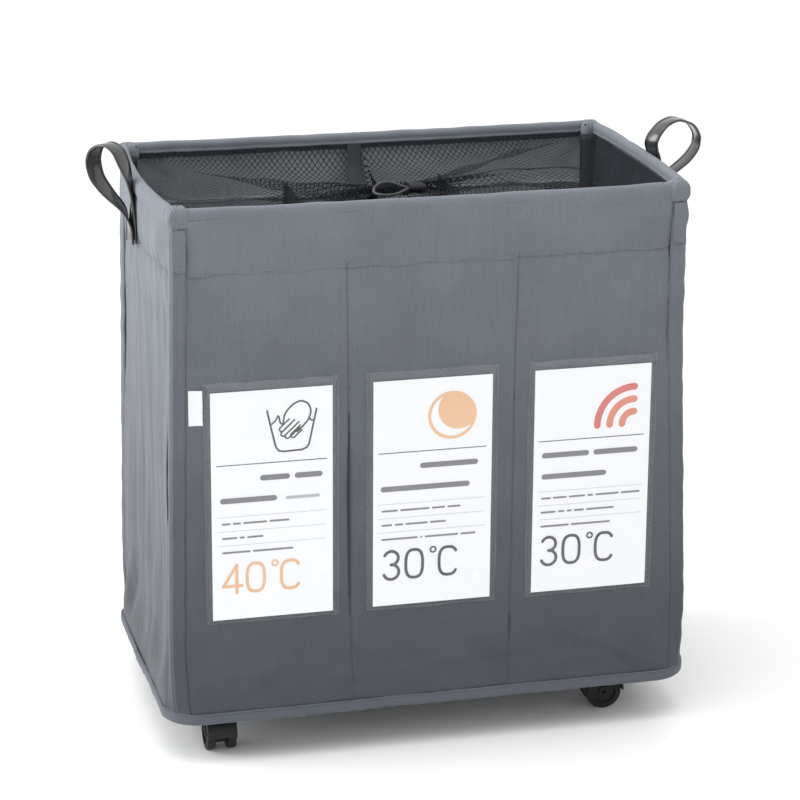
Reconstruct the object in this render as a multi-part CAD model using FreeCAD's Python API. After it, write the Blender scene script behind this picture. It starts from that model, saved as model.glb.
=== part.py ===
"""Three-compartment fabric laundry sorter on twin-wheel casters, in millimetres.

Origin: on the floor, under the middle of the body. +Z up, the label pockets face -Y, +X to the right.
"""

import FreeCAD, Part
import math
import os

Vector = FreeCAD.Vector
UP = Vector(0, 0, 1)

# Driving dimensions -------------------------------------------------------------------------------

# Body
BODY_WIDTH = 555.0
BODY_DEPTH = 320.0
BODY_HEIGHT = 563.0  # underside of the base hem to the top of the rim
FABRIC = 2.0  # a panel with its lining
CLEARANCE = 0.3  # between pieces that move past each other

# Base
COVER_THICKNESS = 2.0
BOARD_THICKNESS = 5.0
BOARD_EDGE_GAP = 0.3
HEM_HEIGHT = 12.0
HEM_FLARE = 11.5
HEM_CORNER_RADIUS = 40.0
HEM_LIP = 1.0  # the hem reaches this far below the cover

# Corner sleeves, posts and feet
SLEEVE_CORNER_RADIUS = 8.0
SLEEVE_ROOM = 0.25  # round a foot, inside the sleeve
SLEEVE_CLOTH = 1.0  # of the sleeve, where it is thinnest
POST_RADIUS = 6.0
POST_WALL = 1.0
FOOT_HEIGHT = 15.0
FOOT_WALL = 1.4
FOOT_FLOOR = 2.0
POST_FIT = 0.1

# Rim
RIM_HEIGHT = 19.0
RIM_DEPTH = 9.0
RIM_FABRIC = 1.2
RIM_CORNER_SIDE = 18.0
RIM_CORNER_RADIUS = 12.0
ROD_RADIUS = 2.5
ROD_BELOW_TOP = 7.0
ROD_SOCKET = 8.0
CONNECTOR_HEIGHT = 14.0
SPIGOT_LENGTH = 22.0

# Flaps that close the sleeves
FLAP_WIDTH = 14.0
FLAP_HEIGHT = 44.0
FLAP_THICKNESS = 1.2

# Dividers and net cover
MIDDLE_COMPARTMENT = 180.0  # between the dividers' middles
DIVIDER_THICKNESS = 1.5
DIVIDER_TOP_DROP = 54.0  # below the rim's top
COVER_NET_THICKNESS = 1.5
COVER_THROAT_X = 26.0
COVER_THROAT_Y = 18.0
COVER_THROAT_DROP = 33.0  # underside of the throat below the rim's top

# Drawcord and its lock
CORD_DIAMETER = 3.0
# Points of the cord's loop. The last number is the height above the rim's top.
CORD_ROUTE = [
    (6.1, -24.8, -23.6),
    (-1.5, -23.2, -21.4),
    (-10.0, -21.0, -18.0),
    (-19.5, -20.8, -16.8),
    (-28.0, -23.8, -19.0),
    (-34.0, -31.0, -22.6),
    (-34.0, -40.0, -24.6),
    (-27.0, -46.5, -25.2),
    (-17.5, -47.2, -25.2),
    (-8.5, -43.0, -25.0),
    (-1.0, -35.5, -24.2),
    (6.1, -29.4, -23.6),
]
LOCK_RADIUS = 5.5
LOCK_LENGTH = 15.0
LOCK_WALL = 1.2
LOCK_BUTTON_RADIUS = 4.1
LOCK_BUTTON_LENGTH = 9.5
LOCK_TRAVEL = 3.0
LOCK_START = (7.0, -27.1, -23.6)  # middle of the end that the cord goes into, measured the same way
LOCK_SPRING_WIRE = 0.5

# Label pockets and cards
POCKET_CENTRES_X = {"left": -174.0, "centre": 0.0, "right": 177.0}
POCKET_WIDTH = 144.0
POCKET_HEIGHT = 268.0
POCKET_BOTTOM_Z = 156.0
POCKET_SHEET = 0.6
POCKET_SEAM = 5.0
CARD_MARGIN = 7.0  # from each side of the pocket to the card
CARD_BELOW_POCKET_TOP = 10.7
CARD_THICKNESS = 0.8
CARD_GAP = 1.0  # each side of the card, inside the pocket

# Seam tag
TAG_WIDTH = 13.0
TAG_HEIGHT = 38.0
TAG_THICKNESS = 0.6
TAG_TOP_Z = 417.0

# Strap handles
STRAP_WIDTH = 20.0
STRAP_THICKNESS = 3.0
HANDLE_BASE_DROP = 68.0  # lower end of the sewn tab below the rim's top
HANDLE_TAB_HEIGHT = 34.0
HANDLE_NOTCH = 6.0
HANDLE_LOOP_RADIUS = 29.0
HANDLE_LOOP_OUT = 39.5  # centre of the loop's round part, out from the side panel
HANDLE_LOOP_TOP = 33.0  # top of the loop above the rim's top
HANDLE_LOOP_TURN = 25.0  # degrees about the vertical

# Casters
CASTER_X = 228.0
CASTER_Y = 111.0
WHEEL_RADIUS = 20.0
WHEEL_WIDTH = 9.0
WHEEL_GAP = 14.0
WHEEL_EDGE = 1.5
WHEEL_RECESS_RADIUS = 13.5
WHEEL_RECESS_DEPTH = 2.0
WHEEL_TRAIL = 17.0
HOOD_GAP = 1.2
HOOD_WALL = 2.0
SWIVEL_ROOM = 3.8  # hood to the underside of the base hem, with the screw heads between
CORE_SIDE_GAP = 0.3
CORE_RADIUS = 13.0
AXLE_RADIUS = 2.5
AXLE_FIT = 0.06
PIN_RADIUS = 4.0
PIN_FIT = 0.06
PIN_DEPTH = 22.0
BOSS_RADIUS = 6.6
PLATE_SIDE = 40.0
PLATE_THICKNESS = 2.0
PLATE_HOLES = 29.0  # hole to hole
SCREW_RADIUS = 2.0
SCREW_HEAD_RADIUS = 3.6
SCREW_HEAD_HEIGHT = 1.6
HOLE_FIT = 0.2
NUT_FLATS = 7.0
NUT_HEIGHT = 3.0
SCREW_STICKS_OUT = 0.4
# Which way each caster trails, in degrees about the vertical from +X.
CASTER_TRAILS = {"front_left": -90.0, "front_right": 180.0, "back_left": 65.0, "back_right": 150.0}

# Worked-out places ----------------------------------------------------------------------------------

HALF_X = BODY_WIDTH / 2
HALF_Y = BODY_DEPTH / 2
GROUND_CLEARANCE = 2 * WHEEL_RADIUS + HOOD_GAP + HOOD_WALL + SWIVEL_ROOM
BASE_Z = GROUND_CLEARANCE
RIM_Z = GROUND_CLEARANCE + BODY_HEIGHT
COVER_Z = BASE_Z + HEM_LIP
BOARD_Z = COVER_Z + COVER_THICKNESS
FLOOR_Z = BOARD_Z + BOARD_THICKNESS  # inside floor of the compartments
RIM_BOTTOM_Z = RIM_Z - RIM_HEIGHT
SLEEVE_TOP_Z = RIM_BOTTOM_Z - 1.0
POST_TOP_Z = SLEEVE_TOP_Z
ROD_Z = RIM_Z - ROD_BELOW_TOP
DIVIDER_X = MIDDLE_COMPARTMENT / 2
SLEEVE_BORE_RADIUS = POST_RADIUS + POST_FIT + FOOT_WALL + SLEEVE_ROOM
SLEEVE_SIDE = 2 * (SLEEVE_BORE_RADIUS + SLEEVE_CLOTH)
POST_X = HALF_X - SLEEVE_SIDE / 2
POST_Y = HALF_Y - SLEEVE_SIDE / 2
CORNERS = {"front_left": (-1, -1), "front_right": (1, -1), "back_left": (-1, 1), "back_right": (1, 1)}
SIDES = {"left": -1, "right": 1}


# Shared shapes --------------------------------------------------------------------------------------


def box(x0, x1, y0, y1, z0, z1):
    """A box between two corners, given in any order."""
    low = Vector(min(x0, x1), min(y0, y1), min(z0, z1))
    return Part.makeBox(abs(x1 - x0), abs(y1 - y0), abs(z1 - z0), low)


def rounded_plate(half_x, half_y, radius, z0, z1):
    """A plate with four round corners."""
    plate = box(-half_x, half_x, -half_y, half_y, z0, z1)
    upright = [e for e in plate.Edges if abs(e.tangentAt(e.FirstParameter).z) > 0.99]
    return plate.makeFillet(radius, upright)


def turned(shape, angle, about=Vector(0, 0, 0)):
    """A copy turned about a vertical line."""
    copy = shape.copy()
    copy.rotate(about, UP, angle)
    return copy


def polygon_prism(points, direction):
    """A prism on a flat outline of 3-D points."""
    wire = Part.makePolygon([Vector(*p) for p in points] + [Vector(*points[0])])
    return Part.Face(wire).extrude(direction)


def corner_box(sign_x, sign_y, side, z0, z1):
    """A square column in one corner of the body, flush with both outer faces."""
    return box(
        sign_x * (HALF_X - side),
        sign_x * HALF_X,
        sign_y * (HALF_Y - side),
        sign_y * HALF_Y,
        z0,
        z1,
    )


def round_outer_corner(shape, sign_x, sign_y, radius):
    """Fillets the one upright edge that lies on the body's outer corner."""
    edges = []
    for edge in shape.Edges:
        middle = edge.valueAt((edge.FirstParameter + edge.LastParameter) / 2)
        upright = abs(edge.tangentAt(edge.FirstParameter).z) > 0.99
        if upright and abs(middle.x - sign_x * HALF_X) < 0.01 and abs(middle.y - sign_y * HALF_Y) < 0.01:
            edges.append(edge)
    return shape.makeFillet(radius, edges)


def caster_places():
    """Each caster's name and the place of its swivel pin."""
    for name, (sign_x, sign_y) in CORNERS.items():
        yield name, Vector(sign_x * CASTER_X, sign_y * CASTER_Y, 0)


def screw_places():
    """The sixteen caster screws: four to a plate."""
    half = PLATE_HOLES / 2
    for _, place in caster_places():
        for dx in (-half, half):
            for dy in (-half, half):
                yield place.x + dx, place.y + dy


def screw_holes(z0, z1):
    """Cutters for the caster screws between two heights."""
    radius = SCREW_RADIUS + HOLE_FIT
    return [Part.makeCylinder(radius, z1 - z0, Vector(x, y, z0)) for x, y in screw_places()]


# Base -----------------------------------------------------------------------------------------------


def base_board():
    """Stiff board inside the base, cut away for nothing but the caster screws."""
    inset = FABRIC + BOARD_EDGE_GAP
    plate = rounded_plate(HALF_X - inset, HALF_Y - inset, SLEEVE_CORNER_RADIUS, BOARD_Z, FLOOR_Z)
    return plate.cut(screw_holes(BOARD_Z - 1, FLOOR_Z + 1))


def base_cover():
    """Fabric underside below the board."""
    plate = rounded_plate(HALF_X, HALF_Y, SLEEVE_CORNER_RADIUS, COVER_Z, BOARD_Z)
    return plate.cut(screw_holes(COVER_Z - 1, BOARD_Z + 1))


def base_hem():
    """Bound hem that stands out all round the foot of the panels."""
    top_z = BASE_Z + HEM_HEIGHT
    outer = rounded_plate(HALF_X + HEM_FLARE, HALF_Y + HEM_FLARE, HEM_CORNER_RADIUS, BASE_Z, top_z)
    hole = rounded_plate(HALF_X, HALF_Y, SLEEVE_CORNER_RADIUS, BASE_Z - 1, top_z + 1)
    return outer.cut(hole)


# Panels and corners ---------------------------------------------------------------------------------


def wide_panel(sign_y):
    """The front or back panel, between the corner sleeves."""
    half = HALF_X - SLEEVE_SIDE
    return box(-half, half, sign_y * HALF_Y, sign_y * (HALF_Y - FABRIC), BOARD_Z, RIM_BOTTOM_Z)


def side_panel(sign_x):
    """The left or right panel, between the corner sleeves."""
    half = HALF_Y - SLEEVE_SIDE
    return box(sign_x * HALF_X, sign_x * (HALF_X - FABRIC), -half, half, BOARD_Z, RIM_BOTTOM_Z)


def corner_sleeve(sign_x, sign_y):
    """Fabric sleeve with a round hole for the post."""
    column = corner_box(sign_x, sign_y, SLEEVE_SIDE, FLOOR_Z, SLEEVE_TOP_Z)
    column = round_outer_corner(column, sign_x, sign_y, SLEEVE_CORNER_RADIUS)
    start = Vector(sign_x * POST_X, sign_y * POST_Y, FLOOR_Z - 1)
    return column.cut(Part.makeCylinder(SLEEVE_BORE_RADIUS, SLEEVE_TOP_Z - FLOOR_Z + 2, start))


def corner_post(sign_x, sign_y):
    """Steel tube from its foot to just under the rim."""
    start = Vector(sign_x * POST_X, sign_y * POST_Y, FLOOR_Z + FOOT_FLOOR)
    length = POST_TOP_Z - start.z
    return Part.makeCylinder(POST_RADIUS, length, start).cut(
        Part.makeCylinder(POST_RADIUS - POST_WALL, length, start)
    )


def post_feet():
    """One plastic cup on the board under each post."""
    cups = []
    for sign_x, sign_y in CORNERS.values():
        start = Vector(sign_x * POST_X, sign_y * POST_Y, FLOOR_Z)
        inner = POST_RADIUS + POST_FIT
        cup = Part.makeCylinder(inner + FOOT_WALL, FOOT_HEIGHT, start)
        socket = Part.makeCylinder(inner, FOOT_HEIGHT, start + UP * FOOT_FLOOR)
        cups.append(cup.cut(socket))
    return Part.makeCompound(cups)


def sleeve_flap(sign_x, sign_y):
    """Flap with a rounded end that hangs over the top of one sleeve."""
    middle = sign_x * POST_X
    top_z = SLEEVE_TOP_Z - 2.0
    y0 = sign_y * (HALF_Y + CLEARANCE)
    y1 = sign_y * (HALF_Y + CLEARANCE + FLAP_THICKNESS)
    flap = box(middle - FLAP_WIDTH / 2, middle + FLAP_WIDTH / 2, y0, y1, top_z - FLAP_HEIGHT, top_z)
    low = [
        e
        for e in flap.Edges
        if abs(e.tangentAt(e.FirstParameter).y) > 0.99 and e.CenterOfMass.z < top_z - FLAP_HEIGHT + 0.1
    ]
    return flap.makeFillet(FLAP_WIDTH * 0.4, low)


# Rim ------------------------------------------------------------------------------------------------


def hollow_beam(x0, x1, y0, y1):
    """A rim hem: a fabric channel, open at both ends, along its longer side."""
    beam = box(x0, x1, y0, y1, RIM_BOTTOM_Z, RIM_Z)
    t = RIM_FABRIC
    x0, x1, y0, y1 = min(x0, x1), max(x0, x1), min(y0, y1), max(y0, y1)
    if x1 - x0 > y1 - y0:
        return beam.cut(box(x0 - 1, x1 + 1, y0 + t, y1 - t, RIM_BOTTOM_Z + t, RIM_Z - t))
    return beam.cut(box(x0 + t, x1 - t, y0 - 1, y1 + 1, RIM_BOTTOM_Z + t, RIM_Z - t))


def wide_rim_hem(sign_y):
    """Rolled hem along the front or back rim."""
    half = HALF_X - RIM_CORNER_SIDE
    return hollow_beam(-half, half, sign_y * (HALF_Y - RIM_DEPTH), sign_y * HALF_Y)


def side_rim_hem(sign_x):
    """Rolled hem along the left or right rim."""
    half = HALF_Y - RIM_CORNER_SIDE
    return hollow_beam(sign_x * (HALF_X - RIM_DEPTH), sign_x * HALF_X, -half, half)


def rim_corner_covers():
    """Fabric hood over each rim corner, open below and where the hems meet it."""
    hoods = []
    for sign_x, sign_y in CORNERS.values():
        column = corner_box(sign_x, sign_y, RIM_CORNER_SIDE, RIM_BOTTOM_Z, RIM_Z)
        column = round_outer_corner(column, sign_x, sign_y, RIM_CORNER_RADIUS)
        t = RIM_FABRIC
        hollow = box(
            sign_x * (HALF_X - RIM_CORNER_SIDE - 1),
            sign_x * (HALF_X - t),
            sign_y * (HALF_Y - RIM_CORNER_SIDE - 1),
            sign_y * (HALF_Y - t),
            RIM_BOTTOM_Z - 1,
            RIM_Z - t,
        )
        edges = []
        for edge in hollow.Edges:
            middle = edge.CenterOfMass
            near = abs(abs(middle.x) - (HALF_X - t)) < 0.01 and abs(abs(middle.y) - (HALF_Y - t)) < 0.01
            if near and abs(edge.tangentAt(edge.FirstParameter).z) > 0.99:
                edges.append(edge)
        hoods.append(column.cut(hollow.makeFillet(RIM_CORNER_RADIUS - t, edges)))
    return Part.makeCompound(hoods)


def rod_y():
    """How far out the front and back rods run."""
    return HALF_Y - RIM_DEPTH / 2


def rod_x():
    """How far out the left and right rods run."""
    return HALF_X - RIM_DEPTH / 2


def connector_inner():
    """How far from the outer faces each connector reaches inwards."""
    return RIM_CORNER_SIDE - 0.5


def rim_rods():
    """Four steel rods, each ending inside two connectors."""
    reach = connector_inner() - ROD_SOCKET
    rods = []
    for sign in (-1, 1):
        half_x = HALF_X - reach
        rods.append(
            Part.makeCylinder(ROD_RADIUS, 2 * half_x, Vector(-half_x, sign * rod_y(), ROD_Z), Vector(1, 0, 0))
        )
        half_y = HALF_Y - connector_inner() + ROD_SOCKET - 2 * ROD_RADIUS
        rods.append(
            Part.makeCylinder(ROD_RADIUS, 2 * half_y, Vector(sign * rod_x(), -half_y, ROD_Z), Vector(0, 1, 0))
        )
    return Part.makeCompound(rods)


def rim_connectors():
    """Plastic corner block on each post, with a spigot down the post and a socket for each rod."""
    blocks = []
    rods = rim_rods()
    gap = RIM_FABRIC + 0.3
    for sign_x, sign_y in CORNERS.values():
        top_z = RIM_Z - gap
        block = box(
            sign_x * (HALF_X - connector_inner()),
            sign_x * (HALF_X - gap),
            sign_y * (HALF_Y - connector_inner()),
            sign_y * (HALF_Y - gap),
            top_z - CONNECTOR_HEIGHT,
            top_z,
        )
        edges = []
        for edge in block.Edges:
            middle = edge.CenterOfMass
            near = abs(abs(middle.x) - (HALF_X - gap)) < 0.01 and abs(abs(middle.y) - (HALF_Y - gap)) < 0.01
            if near and abs(edge.tangentAt(edge.FirstParameter).z) > 0.99:
                edges.append(edge)
        block = block.makeFillet(RIM_CORNER_RADIUS - gap, edges)
        bottom = top_z - CONNECTOR_HEIGHT
        start = Vector(sign_x * POST_X, sign_y * POST_Y, bottom - SPIGOT_LENGTH)
        spigot = Part.makeCylinder(POST_RADIUS - POST_WALL - POST_FIT, SPIGOT_LENGTH + 1, start)
        blocks.append(block.fuse(spigot).cut(rods))
    return Part.makeCompound(blocks)


# Inside ---------------------------------------------------------------------------------------------


def divider(sign_x):
    """Fabric wall between two compartments."""
    half = HALF_Y - FABRIC
    x = sign_x * DIVIDER_X
    t = DIVIDER_THICKNESS / 2
    return box(x - t, x + t, -half, half, FLOOR_Z, RIM_Z - DIVIDER_TOP_DROP)


def mesh_cover():
    """Net cover as four flat gores that meet at their edges and leave the gathered throat open."""
    out_x, out_y = HALF_X - FABRIC, HALF_Y - FABRIC
    in_x, in_y = COVER_THROAT_X / 2, COVER_THROAT_Y / 2
    high = RIM_BOTTOM_Z - COVER_NET_THICKNESS
    low = RIM_Z - COVER_THROAT_DROP
    lift = UP * COVER_NET_THICKNESS
    posts = [corner_box(sx, sy, SLEEVE_SIDE + CLEARANCE, low, RIM_Z) for sx, sy in CORNERS.values()]
    outer = [(-out_x, -out_y, high), (out_x, -out_y, high), (out_x, out_y, high), (-out_x, out_y, high)]
    inner = [(-in_x, -in_y, low), (in_x, -in_y, low), (in_x, in_y, low), (-in_x, in_y, low)]
    gores = []
    for i in range(4):
        j = (i + 1) % 4
        # Each gore is split in two flat triangles, because its four corners aren't quite in one plane.
        for outline in ([outer[i], outer[j], inner[j]], [outer[i], inner[j], inner[i]]):
            gores.append(polygon_prism(outline, lift).cut(posts))
    return Part.makeCompound(gores)


# Drawcord -------------------------------------------------------------------------------------------


def cord_path(points):
    """Straight runs joined by tangent arcs, and the smallest arc radius."""
    edges, smallest, start = [], 1e9, points[0]
    for before, corner, after in zip(points, points[1:], points[2:]):
        into = (corner - before).normalize()
        out = (after - corner).normalize()
        run = min((corner - before).Length, (after - corner).Length)
        turn = math.acos(max(-1.0, min(1.0, into.dot(out))))
        cut = 0.45 * run
        smallest = min(smallest, cut / math.tan(turn / 2))
        arc_start = corner - into * cut
        arc_end = corner + out * cut
        bulge = (out - into).normalize()
        radius = cut / math.tan(turn / 2)
        centre = corner + bulge * (radius / math.cos(turn / 2))
        middle = centre - bulge * radius
        edges.append(Part.LineSegment(start, arc_start).toShape())
        edges.append(Part.Arc(arc_start, middle, arc_end).toShape())
        start = arc_end
    edges.append(Part.LineSegment(start, points[-1]).toShape())
    return Part.Wire(edges), smallest


def drawcord():
    """The free loop of the drawcord, from the gather round to the lock."""
    points = [Vector(x, y, RIM_Z + z) for x, y, z in CORD_ROUTE]
    path, smallest = cord_path(points)
    first = points[0]
    direction = (points[1] - first).normalize()
    ring = Part.Wire(Part.Circle(first, direction, CORD_DIAMETER / 2).toShape())
    tube = path.makePipeShell([ring], True, False)
    expected = math.pi * CORD_DIAMETER**2 / 4 * path.Length
    print(f"drawcord: length {path.Length:.1f}, smallest radius {smallest:.1f}, "
          f"volume share {tube.Volume / expected:.4f}")
    return tube


def along_lock(radius, start, length):
    """A cylinder on the lock's axis, from a distance behind its cord end."""
    x, y, z = LOCK_START
    return Part.makeCylinder(radius, length, Vector(x + start, y, RIM_Z + z), Vector(1, 0, 0))


def button_start():
    """How far from the cord end the button begins when it stands out."""
    return LOCK_LENGTH - LOCK_BUTTON_LENGTH + LOCK_TRAVEL


def cord_lock_body():
    """Barrel of the cord lock, closed at the cord end and open for the button."""
    barrel = along_lock(LOCK_RADIUS, 0, LOCK_LENGTH)
    return barrel.cut(along_lock(LOCK_RADIUS - LOCK_WALL, LOCK_WALL, LOCK_LENGTH))


def cord_lock_button():
    """Plunger that slides in the barrel."""
    return along_lock(LOCK_BUTTON_RADIUS, button_start(), LOCK_BUTTON_LENGTH)


def cord_lock_spring():
    """Coil spring behind the plunger, as a thin sleeve that is shorter than the space when pressed."""
    length = button_start() - LOCK_TRAVEL - LOCK_WALL
    outer = LOCK_BUTTON_RADIUS - 1.0
    sleeve = along_lock(outer, LOCK_WALL, length)
    return sleeve.cut(along_lock(outer - 2 * LOCK_SPRING_WIRE, LOCK_WALL, length))


# Label pockets --------------------------------------------------------------------------------------


def pocket_front():
    """How far out the inner face of the pocket's sheet stands from the front panel."""
    return 2 * CARD_GAP + CARD_THICKNESS


def label_pocket(centre_x):
    """Clear sheet on three sewn strips, open at the top."""
    x0, x1 = centre_x - POCKET_WIDTH / 2, centre_x + POCKET_WIDTH / 2
    z0, z1 = POCKET_BOTTOM_Z, POCKET_BOTTOM_Z + POCKET_HEIGHT
    face, sheet = -HALF_Y, -HALF_Y - pocket_front()
    return Part.makeCompound(
        [
            box(x0, x1, sheet - POCKET_SHEET, sheet, z0, z1),
            box(x0, x0 + POCKET_SEAM, sheet, face, z0, z1),
            box(x1 - POCKET_SEAM, x1, sheet, face, z0, z1),
            box(x0 + POCKET_SEAM, x1 - POCKET_SEAM, sheet, face, z0, z0 + POCKET_SEAM),
        ]
    )


def label_card(centre_x):
    """Stiff card that slides up out of its pocket."""
    half = POCKET_WIDTH / 2 - CARD_MARGIN
    y = -HALF_Y - CARD_GAP
    z0 = POCKET_BOTTOM_Z + POCKET_SEAM + CLEARANCE
    z1 = POCKET_BOTTOM_Z + POCKET_HEIGHT - CARD_BELOW_POCKET_TOP
    return box(centre_x - half, centre_x + half, y - CARD_THICKNESS, y, z0, z1)


def seam_tag():
    """Blank tag sewn into the seam beside the front left sleeve."""
    x = -HALF_X + SLEEVE_SIDE
    return box(x, x + TAG_WIDTH, -HALF_Y - TAG_THICKNESS, -HALF_Y, TAG_TOP_Z - TAG_HEIGHT, TAG_TOP_Z)


# Handles --------------------------------------------------------------------------------------------


def handle_tab(sign_x):
    """The strap's two stacked ends, sewn to the side panel, with a V cut in the lower end."""
    face = sign_x * HALF_X
    z0 = RIM_Z - HANDLE_BASE_DROP
    thick = 2 * STRAP_THICKNESS
    half = STRAP_WIDTH / 2
    tab = box(face, face + sign_x * thick, -half, half, z0, z0 + HANDLE_TAB_HEIGHT)
    notch = polygon_prism(
        [
            (face - sign_x, -half + 2, z0 - 1),
            (face - sign_x, half - 2, z0 - 1),
            (face - sign_x, 0, z0 + HANDLE_NOTCH),
        ],
        Vector(sign_x * (thick + 2), 0, 0),
    )
    return tab.cut(notch)


def teardrop(start, centre, radius):
    """Closed outline in the XZ plane: a circle and its two tangents from a point below it."""
    to_centre = centre - start
    distance = to_centre.Length
    half_angle = math.asin(radius / distance)
    tangent = math.sqrt(distance**2 - radius**2)
    heading = math.atan2(to_centre.z, to_centre.x)
    ends = [
        start + Vector(math.cos(heading + s * half_angle), 0, math.sin(heading + s * half_angle)) * tangent
        for s in (-1, 1)
    ]
    far = centre + to_centre.normalize() * radius
    return Part.Wire(
        [
            Part.LineSegment(start, ends[0]).toShape(),
            Part.Arc(ends[0], far, ends[1]).toShape(),
            Part.LineSegment(ends[1], start).toShape(),
        ]
    )


def handle_loop(sign_x):
    """Teardrop strap loop above the sewn tab, turned a little about the vertical."""
    base_z = RIM_Z - HANDLE_BASE_DROP + HANDLE_TAB_HEIGHT + CLEARANCE
    start = Vector(-STRAP_THICKNESS - CLEARANCE, 0, base_z)
    centre = Vector(-HANDLE_LOOP_OUT, 0, RIM_Z + HANDLE_LOOP_TOP - HANDLE_LOOP_RADIUS)
    half_angle = math.asin(HANDLE_LOOP_RADIUS / (centre - start).Length)
    inset = (centre - start).normalize() * (STRAP_THICKNESS / math.sin(half_angle))
    outer = Part.Face(teardrop(start, centre, HANDLE_LOOP_RADIUS))
    inner = Part.Face(teardrop(start + inset, centre, HANDLE_LOOP_RADIUS - STRAP_THICKNESS))
    strap = outer.extrude(Vector(0, STRAP_WIDTH, 0)).cut(inner.extrude(Vector(0, STRAP_WIDTH, 0)))
    strap.translate(Vector(0, -STRAP_WIDTH / 2, 0))
    strap = turned(strap, HANDLE_LOOP_TURN, start)
    lowest = box(-200, 0, -100, 100, base_z, RIM_Z + 200)
    strap = strap.common(lowest).cut(box(-CLEARANCE, 100, -100, 100, 0, RIM_Z + 200))
    strap.translate(Vector(-HALF_X, 0, 0))
    return strap if sign_x < 0 else turned(strap, 180)


# Casters --------------------------------------------------------------------------------------------


def trail_axis_centre():
    """The wheel axle's middle for a caster at the origin that trails along +X."""
    return Vector(WHEEL_TRAIL, 0, WHEEL_RADIUS)


def across(radius, half_width, centre):
    """A cylinder along Y, centred on a point."""
    start = centre - Vector(0, half_width, 0)
    return Part.makeCylinder(radius, 2 * half_width, start, Vector(0, 1, 0))


def plate_z():
    """Underside of a caster's mounting plate, which lies against the base cover."""
    return COVER_Z - PLATE_THICKNESS


def caster_housing():
    """Core between the wheels, hood over them, and the boss that turns on the pin."""
    centre = trail_axis_centre()
    core_half = WHEEL_GAP / 2 - CORE_SIDE_GAP
    hood_half = WHEEL_GAP / 2 + WHEEL_WIDTH
    hood_in = WHEEL_RADIUS + HOOD_GAP
    hood_out = hood_in + HOOD_WALL
    above = box(-60, 60, -60, 60, WHEEL_RADIUS, 100)
    hood = across(hood_out, hood_half, centre).cut(across(hood_in, hood_half + 1, centre)).common(above)
    web = across(hood_out, core_half, centre).common(above)
    disc = across(CORE_RADIUS, core_half, centre)
    boss_bottom = plate_z() - PIN_DEPTH - 1.5
    boss = Part.makeCylinder(BOSS_RADIUS, plate_z() - CLEARANCE - boss_bottom, Vector(0, 0, boss_bottom))
    link = box(0, WHEEL_TRAIL, -core_half, core_half, boss_bottom, WHEEL_RADIUS + WHEEL_RADIUS * 0.6)
    link = link.common(across(hood_out, core_half, centre))
    body = hood.fuse([web, disc, boss, link])
    pin_hole = Part.makeCylinder(PIN_RADIUS + PIN_FIT, PIN_DEPTH + 2, Vector(0, 0, plate_z() - PIN_DEPTH - 0.5))
    return body.cut([pin_hole, across(AXLE_RADIUS, core_half + 1, centre)]).removeSplitter()


def caster_axle():
    """Steel axle pressed through the core."""
    return across(AXLE_RADIUS, WHEEL_GAP / 2 + WHEEL_WIDTH - WHEEL_RECESS_DEPTH - 0.5, trail_axis_centre())


def caster_wheels():
    """Two wheels on one axle, recessed outside, with eased edges."""
    centre = trail_axis_centre()
    wheels = []
    for side in (-1, 1):
        middle = centre + Vector(0, side * (WHEEL_GAP + WHEEL_WIDTH) / 2, 0)
        wheel = across(WHEEL_RADIUS, WHEEL_WIDTH / 2, middle)
        rims = [e for e in wheel.Edges if isinstance(e.Curve, Part.Circle)]
        wheel = wheel.makeFillet(WHEEL_EDGE, rims)
        outside = middle + Vector(0, side * WHEEL_WIDTH / 2, 0)
        recess = across(WHEEL_RECESS_RADIUS, WHEEL_RECESS_DEPTH, outside)
        bore = across(AXLE_RADIUS + AXLE_FIT, WHEEL_WIDTH, middle)
        cap = across(AXLE_RADIUS + 3.0, WHEEL_RECESS_DEPTH, outside - Vector(0, side * 2.0, 0))
        wheels.append(wheel.cut(recess).fuse(cap).cut(bore))
    return Part.makeCompound(wheels)


def placed_caster(shape, name, place):
    """Turns a caster piece to its trail direction and moves it to its corner."""
    copy = turned(shape, CASTER_TRAILS[name])
    copy.translate(place)
    return copy


def caster_plates():
    """Square steel plates, each with its riveted swivel pin."""
    plates = []
    half = PLATE_SIDE / 2
    for _, place in caster_places():
        plate = box(place.x - half, place.x + half, place.y - half, place.y + half, plate_z(), COVER_Z)
        pin = Part.makeCylinder(PIN_RADIUS, PIN_DEPTH + 1, place + UP * (plate_z() - PIN_DEPTH))
        holes = [
            Part.makeCylinder(SCREW_RADIUS + HOLE_FIT, PLATE_THICKNESS + 2, Vector(x, y, plate_z() - 1))
            for x, y in screw_places()
        ]
        plates.append(plate.fuse(pin).cut(holes))
    return Part.makeCompound(plates)


def caster_screws():
    """Machine screws up through the plate, cover and board."""
    top = FLOOR_Z + NUT_HEIGHT + SCREW_STICKS_OUT
    screws = []
    for x, y in screw_places():
        shank = Part.makeCylinder(SCREW_RADIUS, top - plate_z(), Vector(x, y, plate_z()))
        head = Part.makeCylinder(
            SCREW_HEAD_RADIUS, SCREW_HEAD_HEIGHT, Vector(x, y, plate_z() - SCREW_HEAD_HEIGHT)
        )
        screws.append(shank.fuse(head))
    return Part.makeCompound(screws)


def caster_nuts():
    """Hexagon nuts on the board's top."""
    corner = NUT_FLATS / math.sqrt(3)
    nuts = []
    for x, y in screw_places():
        outline = [
            (x + corner * math.cos(math.radians(60 * i)), y + corner * math.sin(math.radians(60 * i)), FLOOR_Z)
            for i in range(6)
        ]
        hexagon = polygon_prism(outline, UP * NUT_HEIGHT)
        bore = Part.makeCylinder(SCREW_RADIUS + 0.05, NUT_HEIGHT + 2, Vector(x, y, FLOOR_Z - 1))
        nuts.append(hexagon.cut(bore))
    return Part.makeCompound(nuts)


# The whole object -----------------------------------------------------------------------------------


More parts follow.
